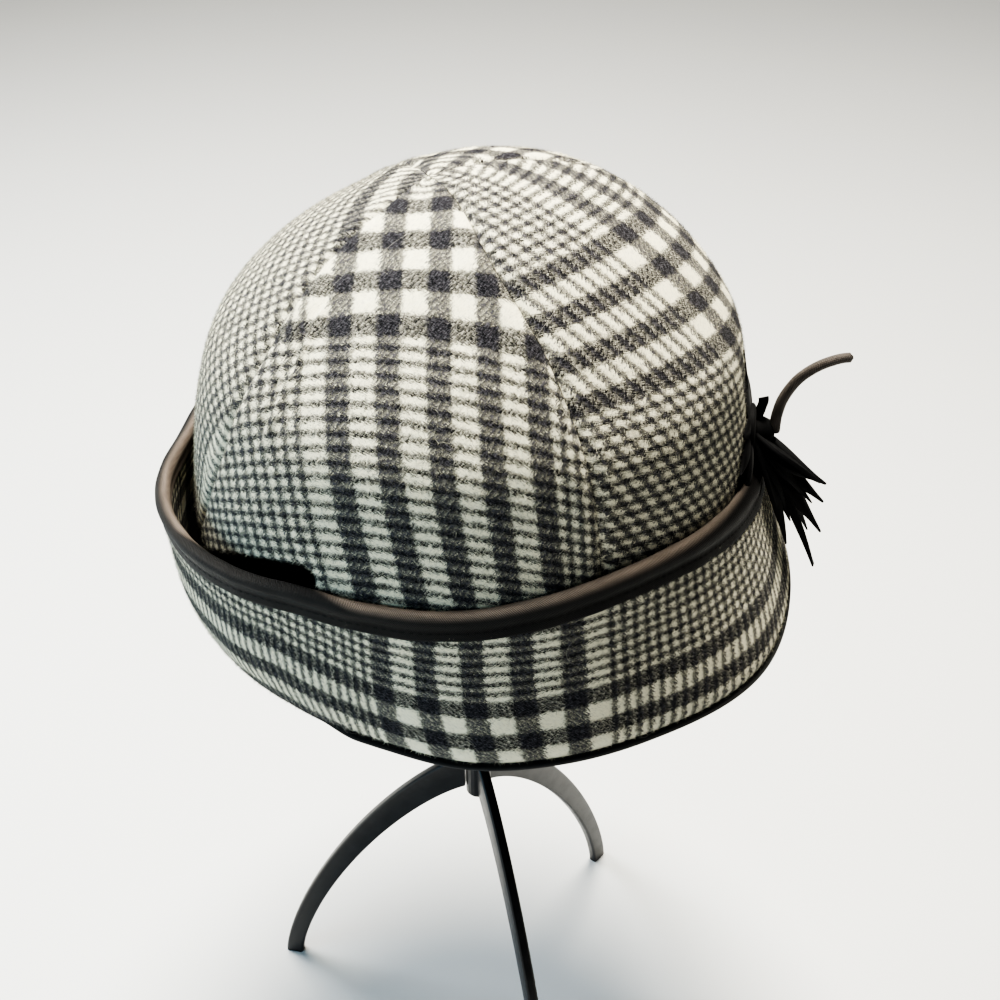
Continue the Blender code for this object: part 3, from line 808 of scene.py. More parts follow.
class Nodes:
    """Short hands for building a material's node tree."""

    def __init__(self, name):
        self.material = bpy.data.materials.new(name)
        self.material.use_nodes = True
        self.tree = self.material.node_tree
        self.shader = self.tree.nodes["Principled BSDF"]

    def add(self, kind, **settings):
        node = self.tree.nodes.new(kind)
        for key, value in settings.items():
            setattr(node, key, value)
        return node

    def put(self, socket, value):
        if isinstance(value, bpy.types.NodeSocket):
            self.tree.links.new(value, socket)
        else:
            socket.default_value = value

    def math(self, operation, *values):
        node = self.add("ShaderNodeMath", operation=operation)
        for socket, value in zip(node.inputs, values):
            self.put(socket, value)
        return node.outputs[0]

    def mix(self, share, first, second, colour=True):
        """The first colour or value where share is 0 and the second where it is 1."""
        node = self.add("ShaderNodeMix", data_type="RGBA" if colour else "FLOAT")
        for socket, value in (("Factor", share), ("A", first), ("B", second)):
            self.put(node.inputs[socket], value)
        return next(o for o in node.outputs if o.type == ("RGBA" if colour else "VALUE"))

    def ramp(self, value, low, high):
        """0 below low and 1 above high."""
        node = self.add("ShaderNodeMapRange")
        node.interpolation_type = "SMOOTHSTEP"
        self.put(node.inputs["Value"], value)
        self.put(node.inputs["From Min"], low)
        self.put(node.inputs["From Max"], high)
        return node.outputs["Result"]

    def noise(self, vector, scale, detail=2.0, roughness=0.5, offset=None):
        """Noise from 0 to 1, about 0.5."""
        if offset:
            shift = self.add("ShaderNodeVectorMath", operation="ADD")
            self.put(shift.inputs[0], vector)
            shift.inputs[1].default_value = offset
            vector = shift.outputs[0]
        node = self.add("ShaderNodeTexNoise")
        self.put(node.inputs["Vector"], vector)
        node.inputs["Scale"].default_value = scale
        node.inputs["Detail"].default_value = detail
        node.inputs["Roughness"].default_value = roughness
        return node.outputs["Fac"]

    def fibres(self, vector, turn, size, offset):
        """Noise about 0 drawn out into strands of this length and width, turned by degrees."""
        mapping = self.add("ShaderNodeMapping", vector_type="TEXTURE")
        self.put(mapping.inputs["Vector"], vector)
        mapping.inputs["Location"].default_value = offset
        mapping.inputs["Rotation"].default_value = (0.0, 0.0, math.radians(turn))
        mapping.inputs["Scale"].default_value = (*size, 1.0)
        return self.math("SUBTRACT", self.noise(mapping.outputs[0], 1.0, 2.0, 0.6), 0.5)

    def scaled(self, vector, factors):
        node = self.add("ShaderNodeVectorMath", operation="MULTIPLY")
        self.put(node.inputs[0], vector)
        node.inputs[1].default_value = factors
        return node.outputs[0]

    def cloth_map(self):
        node = self.add("ShaderNodeUVMap")
        node.uv_map = "cloth"
        return node.outputs["UV"]

    def place(self):
        return self.add("ShaderNodeTexCoord").outputs["Object"]

    def bump(self, height, distance, strength=1.0):
        node = self.add("ShaderNodeBump")
        node.inputs["Distance"].default_value = distance
        node.inputs["Strength"].default_value = strength
        self.put(node.inputs["Height"], height)
        self.put(self.shader.inputs["Normal"], node.outputs["Normal"])

    def colour(self, value):
        self.put(self.shader.inputs["Base Color"], value)

    def finish(self, **constants):
        """Sets plain values on the shader's own sockets."""
        for key, value in constants.items():
            self.shader.inputs[key.replace("_", " ")].default_value = value
        return self.material


def plaid_look(name, checks):
    """Brushed wool in a glen plaid, woven in a 2 and 2 twill.

    The cloth map counts yarns: u across the warp from the first wide bar, v down the weft.
    """
    nodes = Nodes(name)
    cloth = nodes.cloth_map()
    split = nodes.add("ShaderNodeSeparateXYZ")
    nodes.put(split.inputs[0], cloth)

    strands = nodes.fibres(cloth, *STRANDS)
    crossing = nodes.fibres(cloth, *CROSSING)

    def wander(value, offset, fast):
        """A yarn's place, pulled slowly off its line and by the fibres that leave it."""
        slow = nodes.math("SUBTRACT", nodes.noise(cloth, SWAY_SCALE, 1.0, 0.5, offset), 0.5)
        shifted = nodes.math("MULTIPLY_ADD", slow, SWAY, value)
        return nodes.math("MULTIPLY_ADD", fast, FUZZ, shifted)

    u = wander(split.outputs[0], (3.1, 7.7, 0.0), strands)
    v = wander(split.outputs[1], (41.3, 19.9, 0.0), crossing)
    warp, weft = nodes.math("FLOOR", u), nodes.math("FLOOR", v)

    def stripes(value, width, dark_first):
        """How many yarns a place lies inside a dark stripe, below 0 outside."""
        wave = nodes.math("PINGPONG", nodes.math("ADD", value, width / 2), width)
        sign = 1.0 if dark_first else -1.0
        return nodes.math("MULTIPLY_ADD", wave, sign, -sign * width / 2)

    def dark(place, bars, checks, dark_first):
        """1 on dark yarns, 0 on light ones, soft between: wide bars first, then the fine check."""
        wide = bars * BAR
        at = nodes.math("FLOORED_MODULO", place, wide + 2 * CHECK * checks)
        fine = nodes.math("GREATER_THAN", at, wide)
        bar = stripes(at, BAR, dark_first)
        check = stripes(nodes.math("SUBTRACT", at, wide), CHECK, False)
        return nodes.ramp(nodes.mix(fine, bar, check, colour=False), -EDGE_BLUR, EDGE_BLUR)

    dark_warp = dark(u, WARP_BARS, checks, False)
    dark_weft = dark(v, WEFT_BARS, WEFT_CHECKS, True)

    def rounded(value):
        """1 along a yarn's middle, 0 between yarns."""
        centred = nodes.math("MULTIPLY_ADD", nodes.math("FRACT", value), 2.0, -1.0)
        return nodes.math("SUBTRACT", 1.0, nodes.math("MULTIPLY", centred, centred))

    def over(yarn, along):
        """How high a yarn floats: it passes over two and under two."""
        phase = nodes.math("ADD", yarn, along)
        return nodes.math("SINE", nodes.math("MULTIPLY", phase, math.pi / 2))

    warp_height = nodes.math("MULTIPLY_ADD", rounded(u), 0.5, over(warp, v))
    weft_height = nodes.math("SUBTRACT", nodes.math("MULTIPLY", rounded(v), 0.5), over(weft, u))
    grain = nodes.math("ADD", strands, crossing)
    lead = nodes.math("SUBTRACT", warp_height, weft_height)
    darker = nodes.math("SUBTRACT", dark_warp, dark_weft)
    darker = nodes.math("MULTIPLY", darker, LEAD_BY_DARK)
    lead = nodes.math("MULTIPLY_ADD", lead, LEAD_BY_HEIGHT, darker)
    lead = nodes.math("MULTIPLY_ADD", grain, LEAD_BY_GRAIN, lead)
    warp_on_top = nodes.ramp(lead, -2.0, 2.0)
    darkness = nodes.mix(warp_on_top, dark_weft, dark_warp, colour=False)
    light = nodes.mix(nodes.ramp(strands, -0.05, 0.30), IVORY, IVORY_SHADE)
    black = nodes.mix(nodes.ramp(grain, -0.12, 0.30), CHARCOAL, CHARCOAL_LIT)
    lightness = nodes.math("POWER", nodes.math("SUBTRACT", 1.0, darkness), DARK_SPREAD)
    # Painted shade: a stored mask darkens the wool deep in the gap behind the flap to IN_SHADE.
    deep = nodes.add("ShaderNodeAttribute", attribute_name=GAP_SHADE).outputs["Fac"]
    plaid = nodes.mix(lightness, black, light)
    nodes.colour(nodes.mix(deep, plaid, IN_SHADE))
    top = nodes.math("MAXIMUM", warp_height, weft_height)
    nap = nodes.noise(cloth, 1.4, 5.0, 0.8, (2.0, 9.0, 0.0))
    nodes.bump(nodes.math("MULTIPLY_ADD", top, 0.25, nodes.math("MULTIPLY", nap, 1.8)), 0.00030, 0.7)
    return nodes.finish(
        Roughness=0.95, Specular_IOR_Level=0.12, Sheen_Weight=0.07, Sheen_Roughness=0.45
    )


def tape_look(name, colour, pale_and_highlight_colour, roughness, highlight_from=None):
    """Bias tape in a fine steep twill with paler mottling, and a painted highlight across the fold's
    top if its start is given.

    The cloth map is in mm: u along the tape, v across it.
    """
    nodes = Nodes(name)
    cloth = nodes.cloth_map()
    split = nodes.add("ShaderNodeSeparateXYZ")
    nodes.put(split.inputs[0], cloth)
    slant = nodes.math("MULTIPLY_ADD", split.outputs[1], 0.9, split.outputs[0])
    wander = nodes.math("MULTIPLY_ADD", nodes.noise(cloth, 0.9, 2.0), 0.35, slant)
    rib = nodes.math("SINE", nodes.math("MULTIPLY", wander, 2 * math.pi / TWILL_PITCH))
    thread = nodes.math("SINE", nodes.math("MULTIPLY", split.outputs[1], 2 * math.pi / THREAD_PITCH))
    weave = nodes.math("MULTIPLY_ADD", thread, 0.35, rib)
    lit = nodes.ramp(weave, -1.2, 1.3)
    cloud = nodes.noise(nodes.scaled(cloth, (0.10, 0.5, 1.0)), 1.0, 3.0, 0.6)
    pale_and_highlight = nodes.ramp(cloud, 0.25, 0.75)
    if highlight_from is not None:
        # The painted highlight on the fold's top: paler from this place on across the tape.
        edge = nodes.ramp(split.outputs[1], highlight_from, highlight_from + FOLD_HIGHLIGHT_WIDTH)
        pale_and_highlight = nodes.math("MULTIPLY", nodes.math("MULTIPLY_ADD", pale_and_highlight, 0.35, 0.65), edge)
    tone = nodes.math("MULTIPLY", pale_and_highlight, nodes.math("MULTIPLY_ADD", lit, 0.88, 0.12))
    nodes.colour(nodes.mix(tone, colour, pale_and_highlight_colour))
    nodes.bump(weave, 0.00011, 0.8)
    return nodes.finish(
        Roughness=roughness, Specular_IOR_Level=0.22, Sheen_Weight=0.03, Sheen_Roughness=0.35
    )


def felt_look(name, colour, edge, roughness):
    """Dense cloth with a short nap."""
    nodes = Nodes(name)
    place = nodes.place()
    nap = nodes.noise(place, 900.0, 4.0, 0.75)
    cloud = nodes.noise(place, 120.0, 3.0, 0.6)
    tone = nodes.math("MULTIPLY", nodes.ramp(nap, 0.35, 0.75), nodes.ramp(cloud, 0.25, 0.8))
    nodes.colour(nodes.mix(tone, colour, edge))
    nodes.bump(nap, 0.00012, 0.6)
    return nodes.finish(
        Roughness=roughness, Specular_IOR_Level=0.15, Sheen_Weight=0.03, Sheen_Roughness=0.4
    )


def plastic_look(name):
    """Black moulded plastic with a satin surface and light handling marks."""
    nodes = Nodes(name)
    place = nodes.place()
    fine = nodes.noise(place, 1500.0, 2.0, 0.6)
    marks = nodes.noise(place, 160.0, 4.0, 0.7)
    tone = nodes.mix(nodes.ramp(marks, 0.4, 0.8), *PLASTIC)
    nodes.colour(tone)
    rough = nodes.math("MULTIPLY_ADD", nodes.ramp(marks, 0.35, 0.75), 0.10, 0.30)
    nodes.put(nodes.shader.inputs["Roughness"], rough)
    nodes.bump(fine, 0.00003, 0.3)
    return nodes.finish(Specular_IOR_Level=0.32)


def floor_look():
    nodes = Nodes("floor")
    place = nodes.place()
    tone = nodes.noise(place, 3.0, 3.0)
    nodes.colour(nodes.mix(tone, *FLOOR))
    return nodes.finish(Roughness=0.75)


# The crown


def lay_flat(points, start):
    """Relaxes springs as long as the steps between the points until the grid lies flat."""
    rows, columns = points.shape[:2]
    springs = []
    total = np.zeros((rows, columns))
    for down, right, weight in SPRINGS:
        left = max(0, -right)
        first = (slice(0, rows - down), slice(left, columns - max(0, right)))
        second = (slice(down, rows), slice(left + right, columns - max(0, right) + right))
        springs.append((first, second, weight, length(points[second] - points[first])))
        total[first] += weight
        total[second] += weight
    flat = start.copy()
    for _ in range(RELAX_ROUNDS):
        move = np.zeros_like(flat)
        for first, second, weight, rest in springs:
            step = flat[second] - flat[first]
            push = (0.5 * weight * (1 - rest / np.maximum(length(step), 1e-9)))[..., None] * step
            move[first] += push
            move[second] -= push
        flat += RELAX_STEP * move / total[..., None]
    middle = columns // 2
    down = unit(flat[-1, middle] - flat[0, middle])
    across = np.array([down[1], -down[0]])
    flat = np.stack([(flat - flat[0, middle]) @ across, (flat - flat[0, middle]) @ down], -1)
    if flat[rows // 2, -1, 0] < flat[rows // 2, 0, 0]:
        flat[..., 0] *= -1
    return flat


def column_shares(columns):
    """Where a gore's columns stand between its seams, closer together near them."""
    even = np.arange(columns + 1) / columns
    return even - COLUMN_CROWDING * np.sin(2 * math.pi * even) / (2 * math.pi)


def gore_net(seam, columns, rows, top):
    """Points of a gore's outside on a grid, with the share down of each row."""
    start = top / PROFILE_LENGTH
    down = (start + (1 - start) * np.arange(rows + 1) / rows)[:, None]
    sides = []
    for side, sign in ((seam, 1), (seam + 1, -1)):
        edge = seam_azimuth(side, down)
        speed = length(crown_outside(edge + 0.5, down) - crown_outside(edge - 0.5, down))
        open_gap = SEAM_GAP * (1 - SEAM_CLOSED * smooth(*SEAM_CLOSES, down))
        sides.append(edge + sign * open_gap / 2 / np.maximum(speed, 1e-5))
    azimuth = sides[0] + (sides[1] - sides[0]) * column_shares(columns)[None, :]
    return crown_outside(azimuth, down * np.ones_like(azimuth)), down


def flat_gore(seam, down):
    """Where the gore's grid lies when it is flat, in mm right of its middle and below its top."""
    points, coarse_down = gore_net(seam, FLAT_CELLS, FLAT_CELLS, FLAT_TOP)
    middle = FLAT_CELLS // 2
    reach = FLAT_TOP + run_along(points[:, middle])[:, None]
    across = run_across(points)
    across -= across[:, middle][:, None]
    start = np.stack([reach * np.sin(across / reach), reach * np.cos(across / reach)], -1)
    flat = lay_flat(points, start)
    first = float(coarse_down[0, 0])
    row = (down[:, 0] - first) / (1 - first) * FLAT_CELLS
    shares = column_shares(FLAT_CELLS)
    column = np.interp(column_shares(GORE_COLUMNS), shares, np.arange(FLAT_CELLS + 1))
    i = np.clip(row.astype(int), 0, FLAT_CELLS - 1)[:, None]
    j = np.clip(column.astype(int), 0, FLAT_CELLS - 1)[None, :]
    s, t = row[:, None] - i, column[None, :] - j
    return 1000 * read_grid(flat, i, j, s[..., None], t[..., None])


def cut_from_plaid(name, flat):
    """The cloth map of a gore: its flat points in yarns of the plaid."""
    x, y = flat[..., 0], flat[..., 1]
    bend = np.maximum(0.0, BEND_FROM - y) ** 2 / 1000
    bow = x**2 / 1000
    places = [
        start + per_x * x + per_y * y + per_bend * bend + per_bow * bow
        for gore, _, start, per_x, per_y, per_bend, per_bow in CUTS
        if gore == name
    ]
    return in_yarns(*places)


def ripple(points, size, seed):
    """Soft uneven waves about one unit high, the same each run."""
    draw = np.random.default_rng(seed)
    total = np.zeros(points.shape[:-1])
    for _ in range(RIPPLE_WAVES):
        direction = unit(draw.normal(size=3))
        wave = 2 * math.pi / (size * draw.uniform(0.6, 1.7))
        total += np.sin(points @ direction * wave + draw.uniform(0, 2 * math.pi))
    return total / 4


def along_crease(flat):
    """How many mm flat points lie right of the crease, and 1 along it fading to 0 past its ends."""
    path = np.array(CREASE)
    ys = np.linspace(path[0, 1], path[-1, 1], CREASE_POINTS)
    xs = hermite(path[:, 1], path[:, 0], ys)
    x_at = np.interp(flat[..., 1], ys, xs)
    slope = np.interp(flat[..., 1], ys, np.gradient(xs, ys))
    begun = smooth(ys[0] + CREASE_START[0], ys[0] + CREASE_START[1], flat[..., 1])
    ended = smooth(ys[-1] + CREASE_END[0], ys[-1] + CREASE_END[1], flat[..., 1])
    return (flat[..., 0] - x_at) / np.hypot(1.0, slope), begun * (1 - ended)


def gore_relief(seam, points, flat, down):
    """How far the wool stands proud: it dips into its seams and puffs beside them."""
    run = run_across(points)
    edge = np.minimum(run, run[:, -1:] - run)
    relief = smooth(*PUFFS_BEGIN, down) * (ridge(edge, *SEAM_PUFF) + ridge(edge, *SEAM_DIP))
    waves = ripple(points, GORE_WAVE, GORE_SEED + seam)
    relief += WAVE_HEIGHT * waves * smooth(0.0, SEAM_CALM, edge)
    for side, distance in ((seam, run), (seam + 1, run[:, -1:] - run)):
        depth, start = VALLEYS[SEAMS[side % len(SEAMS)][0]]
        fallen = smooth(start, start + VALLEY_FADE, down)
        relief -= ridge(distance, depth, 0.0, VALLEY_WIDTH) * fallen
    if SEAMS[seam][0] == "front":
        off, here = along_crease(flat)
        relief += here * (ridge(off, *CREASE_RIDGE) + ridge(off, *CREASE_DIP))
    return relief


def over_gap(points):
    """Azimuths of points from -270 to 90, and how far below the line where the wool turns in."""
    azimuth = np.degrees(np.arctan2(points[..., 1] - AXIS[1], points[..., 0] - AXIS[0]))
    azimuth = np.where(azimuth > 90.0, azimuth - 360.0, azimuth)
    places, above = zip(*TUCK_LINE)
    above_flap = hermite(places, above, np.clip(azimuth, places[0], places[-1])) / 1000
    return azimuth, RIM_HEIGHT + flap_top(azimuth)[1] + above_flap - points[..., 2]


def tuck(points):
    """How far the wool turns in under itself above the gap behind the flap."""
    azimuth, below = over_gap(points)
    here = smooth(TUCK_FROM, TUCK_FROM - TUCK_FADE, azimuth)
    here *= smooth(TUCK_TO - TUCK_FADE, TUCK_TO, azimuth)
    height = points[..., 2] - RIM_HEIGHT
    return TUCK_DEPTH * here * smooth(0.0, TUCK_TURN, below) * smooth(TUCK_HEM / 3, TUCK_HEM, height)


def painted_gap_shade(points):
    """1 on the wool in the gap behind the flap that gets painted shade, 0 in the open."""
    azimuth, below = over_gap(points)
    return smooth(*SHADE_FROM, azimuth) * smooth(*SHADE_TO, azimuth) * smooth(*SHADE_BELOW, below)


def mark_painted_shade(piece, shares):
    """Stores the painted shade of each point of the piece, for its look."""
    layer = piece.data.attributes.new(GAP_SHADE, "FLOAT", "POINT")
    layer.data.foreach_set("value", np.asarray(shares, np.float32).ravel())


def crown_gore(seam, look):
    """One sewn panel of the crown with its seams turned in, and what its nap grows on."""
    name = SEAMS[seam][0]
    points, down = gore_net(seam, GORE_COLUMNS, GORE_ROWS, APEX_HOLE)
    normals = outward_normals(points)
    flat = flat_gore(seam, down)
    cloth = cut_from_plaid(name, flat)
    relief = gore_relief(seam, points, flat, down) - tuck(points)
    outer = points + relief[..., None] * normals
    inner = points + (np.minimum(relief, 0.0) - WOOL)[..., None] * normals
    inner[-1, :, 2] = points[-1, :, 2]
    piece = loft(f"gore_{name}", fold_back(outer, inner), look, fold_back_map(cloth))
    deep = painted_gap_shade(points)
    mark_painted_shade(piece, fold_back(deep, 0 * deep))
    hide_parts(f"crown_gore_{name}")
    return piece, outer, normals, cloth, deep


# The flap


def band_net():
    """Outside and inside points of the flap, with their flat places in mm."""
    azimuth = all_round(BAND_STATIONS, BAND_OPENING)[:, None]
    share = (np.arange(BAND_ROWS + 1) / BAND_ROWS)[None, :] ** BAND_CROWDING
    radius, inside, height = flap_section(azimuth, share)
    outer, inner = polar(azimuth, radius, height), polar(azimuth, inside, height)
    run = run_along(outer[:, BAND_ROWS // 2])
    run -= np.interp(360.0 + BAND_FRONT, azimuth[:, 0], run)
    rise = run_across(outer)
    flat = 1000 * np.stack([np.broadcast_to(run[:, None], rise.shape), rise], -1)
    return outer, inner, flat


def band_cloth(flat):
    """The flap's cloth map: its flat points in yarns of the plaid, pulled as it was sewn."""
    x, y = flat[..., 0], flat[..., 1]
    places, *pulls = zip(*BAND_PULL)
    reach = np.clip(x, places[0], places[-1])
    lean_left, lift, let_out = (hermite(places, pull, reach) for pull in pulls)
    up = LEAN_RISE * np.tanh(y / LEAN_RISE)
    across = BAND_BAR - (x + let_out + lean_left * (up - BAND_PIVOT))
    return in_yarns(across, (BAND_ROW + lift - y) * BAND_STRETCH)


def flap_band(look):
    """The turned-up band of wool."""
    outer, inner, flat = band_net()
    normals = outward_normals(outer)
    normals[..., 2] *= 0.5
    normals = unit(normals)
    rise = flat[..., 1] / 1000
    top = rise[:, -1:]
    puff = ridge(rise - (top - TAPE_WIDTH), *BAND_PUFF)
    rounded = HEM_ROUND * np.clip(1 - rise / HEM_ROUND_HEIGHT, 0.0, 1.0) ** 2
    waves = WAVE_HEIGHT * ripple(outer, BAND_WAVE, BAND_SEED) * smooth(*HEM_CALM, rise)
    outer = outer + (puff - rounded + waves)[..., None] * normals
    cloth = band_cloth(flat)
    piece = loft("band", fold_back(outer, inner), look, fold_back_map(cloth))
    # Painted shade on the flap's inside: low down all the way round, and over its whole height at the
    # gap.
    turned, _ = over_gap(inner)
    low = smooth(*BAND_SHADE_BELOW, rise / top)
    shade_at_gap = smooth(*BAND_SHADE_TO, turned) * smooth(*BAND_SHADE_FROM, turned)
    mark_painted_shade(piece, fold_back(0 * low, np.maximum(low, shade_at_gap)))
    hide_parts("flap_band")
    return piece, outer, normals, cloth


def tape_skin():
    """The tape's outer and inner section, each point outwards from the wool and up from its edge."""
    rows = np.array(TAPE_SECTION, float)
    run = run_along(rows * (TAPE, TAPE_WIDTH))
    at = np.linspace(0.0, run[-1], TAPE_POINTS)
    out = TAPE * hermite(run, rows[:, 0], at)
    up = TAPE_WIDTH * hermite(run, rows[:, 1], at)
    outer = np.stack([out, up], -1)
    along = unit(np.gradient(outer, axis=0))
    inner = outer + TAPE_CLOTH * np.stack([-along[:, 1], along[:, 0]], -1)
    return outer, inner, at


def painted_fold_shadow(azimuth):
    """How much painted shadow takes the painted highlight off the tape's fold: 1 where it takes all of
    it.
    """
    turned = (azimuth + 270.0) % 360.0 - 270.0
    full_shadow = smooth(*FOLD_SHADOW_START, turned) * smooth(*FOLD_SHADOW_END, turned)
    half = smooth(*HALF_SHADOW_RIGHT, turned) + smooth(*HALF_SHADOW_LEFT, turned)
    return np.minimum(1.0, full_shadow + HALF_SHADOW * half)


def flap_tape(look):
    """The bias tape folded over the flap's upper edge, and the places its stitches follow."""
    azimuth = all_round(TAPE_STATIONS, TAPE_OPENING)
    radius, height = flap_outside(azimuth, 1.0)
    low_radius, low_height = flap_outside(azimuth, TAPE_FOOT)
    slope = (radius - low_radius) / (height - low_height)
    widen = np.hypot(1.0, slope)
    skins = []
    *sections, across = tape_skin()
    for section in sections:
        out, up = section[None, :, 0], section[None, :, 1]
        reach = radius[:, None] + up * slope[:, None] + out * widen[:, None]
        skins.append(polar(azimuth[:, None], reach, height[:, None] + up))
    outer, inner = skins
    run = run_along(outer[:, 0])
    gathers = 0.5 + 0.5 * np.sin(2 * math.pi * run / STITCH_PITCH)[:, None]
    at_stitch = ridge(across, 1.0, STITCH_AT, STITCH_PULL_WIDTH)[None, :]
    relief = TAPE_RELIEF * (ripple(outer, TAPE_WAVE, TAPE_SEED) - gathers * at_stitch)
    outer = outer + relief[..., None] * outward_normals(outer)
    cloth = strip_map(run, across)
    # Painted shadow of the crown on the fold: the cloth map slides down so that the painted highlight
    # falls away.
    cloth[..., 1] -= FOLD_SHADOW_SHIFT * painted_fold_shadow(azimuth)[:, None] * smooth(*FOLD_STARTS, across)[None, :]
    piece = loft("tape", fold_back(outer, inner), look, fold_back_map(cloth))
    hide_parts("flap_binding")
    return outer, run, across


def tape_stitches(outer, run, across, look):
    """The row of machine stitches along the tape's flat part."""
    column = int(STITCH_AT / across[1])
    line = outer[:, column]
    up = unit(outer[:, column + 1] - outer[:, column - 1])
    points, faces = [], []
    for k in range(int(run[-1] / STITCH_PITCH)):
        at = STITCH_PITCH * (k + 0.25)
        middle = np.array([np.interp(at, run, line[:, axis]) for axis in range(3)])
        end = at + STITCH_LENGTH / 2
        ahead = np.array([np.interp(end, run, line[:, axis]) for axis in range(3)])
        side = np.array([np.interp(at, run, up[:, axis]) for axis in range(3)])
        along = ahead - middle
        out = np.cross(unit(along), unit(side))
        out *= np.sign((out * (middle - AXIS - (0, 0, RIM_HEIGHT))).sum())
        start = len(points)
        for share, swell in STITCH_SECTIONS:
            for turn in range(STITCH_SIDES):
                angle = 2 * math.pi * turn / STITCH_SIDES
                width = side * STITCH_WIDTH / 2 * swell * math.cos(angle)
                lift = out * STITCH_RISE * swell * math.sin(angle)
                points.append(middle + along * share + width + lift)
        last = STITCH_SIDES * (len(STITCH_SECTIONS) - 1)
        for ring in range(0, last, STITCH_SIDES):
            for turn in range(STITCH_SIDES):
                a, b = start + ring + turn, start + ring + (turn + 1) % STITCH_SIDES
                faces.append((a, b, b + STITCH_SIDES, a + STITCH_SIDES))
        faces.append([start + turn for turn in range(STITCH_SIDES)])
        faces.append([start + last + turn for turn in range(STITCH_SIDES)])
    data = bpy.data.meshes.new("tape_stitches")
    data.from_pydata([tuple(p) for p in points], [], faces)
    piece = finish_piece("tape_stitches", data, look)


def rim_tape(look):
    """The narrow rounded binding under the wool."""
    azimuth = all_round(BAND_STATIONS, TAPE_OPENING)[:, None]
    outer = rim_radius(azimuth) + RIM_LIP
    outer = outer - RIM_TUCK * smooth(*RIM_TUCK_AT, (azimuth + 180) % 360 - 180)
    inner = hem_radius(azimuth) - 2 * WOOL
    turns = np.radians(np.linspace(90.0, -90.0, RIM_TURNS))[None, :]
    half = RIM_BEAD / 2
    nose = outer - half + half * np.cos(turns)
    nose_height = -half + half * np.sin(turns)
    tail = inner + half - half * np.cos(turns[:, ::-1])
    radii = np.concatenate([nose, tail], 1)
    heights = np.concatenate([nose_height, nose_height[:, ::-1]], 1)
    loops = polar(azimuth, radii, np.broadcast_to(heights, radii.shape))
    across = np.arange(loops.shape[1] + 1) * RIM_STEP
    piece = loft("rim_tape", loops, look, strip_map(run_along(loops[:, 4]), across))
    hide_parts("rim_binding")


# Nap


def nap(name, points, normals, cloth, count, seed, look, grows=None):
    """Short wool fibres that leave the surface, each one thin triangle in its yarn's colour."""
    draw = np.random.default_rng(seed)
    columns = points.shape[1] - 1
    area = cell_areas(points).ravel()
    if grows is not None:
        area = area * (grows[:-1, :-1].ravel() > 0.5)
    cell = draw.choice(len(area), size=count, p=area / area.sum())
    i, j = cell // columns, cell % columns
    s, t = draw.random((count, 1)), draw.random((count, 1))
    root, normal, yarn = (read_grid(grid, i, j, s, t) for grid in (points, normals, cloth))
    normal = unit(normal)
    lie = draw.normal(size=(count, 3))
    lie = unit(lie - (lie * normal).sum(-1, keepdims=True) * normal)
    climb = draw.uniform(*NAP_RISE, size=(count, 1))
    reach = draw.uniform(*NAP_REACH, size=(count, 1))
    tip = root + reach * (lie * np.sqrt(1 - climb**2) + normal * climb)
    across = unit(np.cross(lie, normal)) * draw.uniform(*NAP_WIDTH, size=(count, 1))
    base = root - normal * NAP_ROOT
    corners = np.stack([base - across, base + across, tip], 1)
    data = bpy.data.meshes.new(name)
    data.vertices.add(3 * count)
    data.vertices.foreach_set("co", corners.astype(np.float32).ravel())
    data.loops.add(3 * count)
    data.loops.foreach_set("vertex_index", np.arange(3 * count, dtype=np.int32))
    data.polygons.add(count)
    data.polygons.foreach_set("loop_start", np.arange(0, 3 * count, 3, dtype=np.int32))
    data.update(calc_edges=True)
    set_corner_map(data, np.repeat(yarn, 3, axis=0))
    return finish_piece(name, data, look, turn_out=False)


def lint(name, points, normals, count, seed, look):
    """Long loose fibres that lie curled on the cloth, each one a thin ribbon."""
    draw = np.random.default_rng(seed)
    rows, columns = points.shape[0] - 1, points.shape[1] - 1
    ribbons, faces = [], []
    for _ in range(count):
        i, j = draw.uniform(*LINT_ROWS) * rows, draw.uniform(*LINT_COLUMNS) * columns
        heading, bend = draw.uniform(0, 2 * math.pi), draw.normal() * LINT_BEND
        stride = draw.uniform(*LINT_LENGTH) / LINT_STEPS
        arch_height = draw.uniform(*LINT_ARCH)
        line = []
        for step in range(LINT_STEPS + 1):
            i, j = np.clip(i, 0, rows - 1.001), np.clip(j, 0, columns - 1.001)
            a, b = int(i), int(j)
            place, normal = (read_grid(grid, a, b, i - a, j - b) for grid in (points, normals))
            normal = unit(normal)
            lift = LINT_OFF + arch_height * math.sin(math.pi * step / LINT_STEPS)
            line.append(place + normal * lift)
            i += stride * math.sin(heading) / length(points[a + 1, b] - points[a, b])
            j += stride * math.cos(heading) / length(points[a, b + 1] - points[a, b])
            heading += bend
        line = np.array(line)
        across = unit(np.cross(np.gradient(line, axis=0), normal)) * LINT_WIDTH / 2
        start = len(ribbons) * 2 * (LINT_STEPS + 1)
        ribbons.append(np.stack([line - across, line + across], 1).reshape(-1, 3))
        faces += [tuple(start + 2 * k + n for n in (0, 1, 3, 2)) for k in range(LINT_STEPS)]
    data = bpy.data.meshes.new(name)
    data.from_pydata([tuple(p) for p in np.concatenate(ribbons)], [], faces)
    return finish_piece(name, data, look, turn_out=False)


# The flower


def flower_frame():
    """The flower's seat on the crown: a point, the way out, the way up and the viewer's side."""
    turn, step = 1.0, 0.002

    def skin(azimuth, height):
        return polar(azimuth, crown_radius(azimuth, height), height)

    seat = skin(FLOWER_AZIMUTH, FLOWER_HEIGHT)
    across = skin(FLOWER_AZIMUTH + turn, FLOWER_HEIGHT) - seat
    climb = skin(FLOWER_AZIMUTH, FLOWER_HEIGHT + step) - seat
    out = unit(np.cross(across, climb))
    side = -unit(across)
    return seat, out, unit(np.cross(side, out)), side


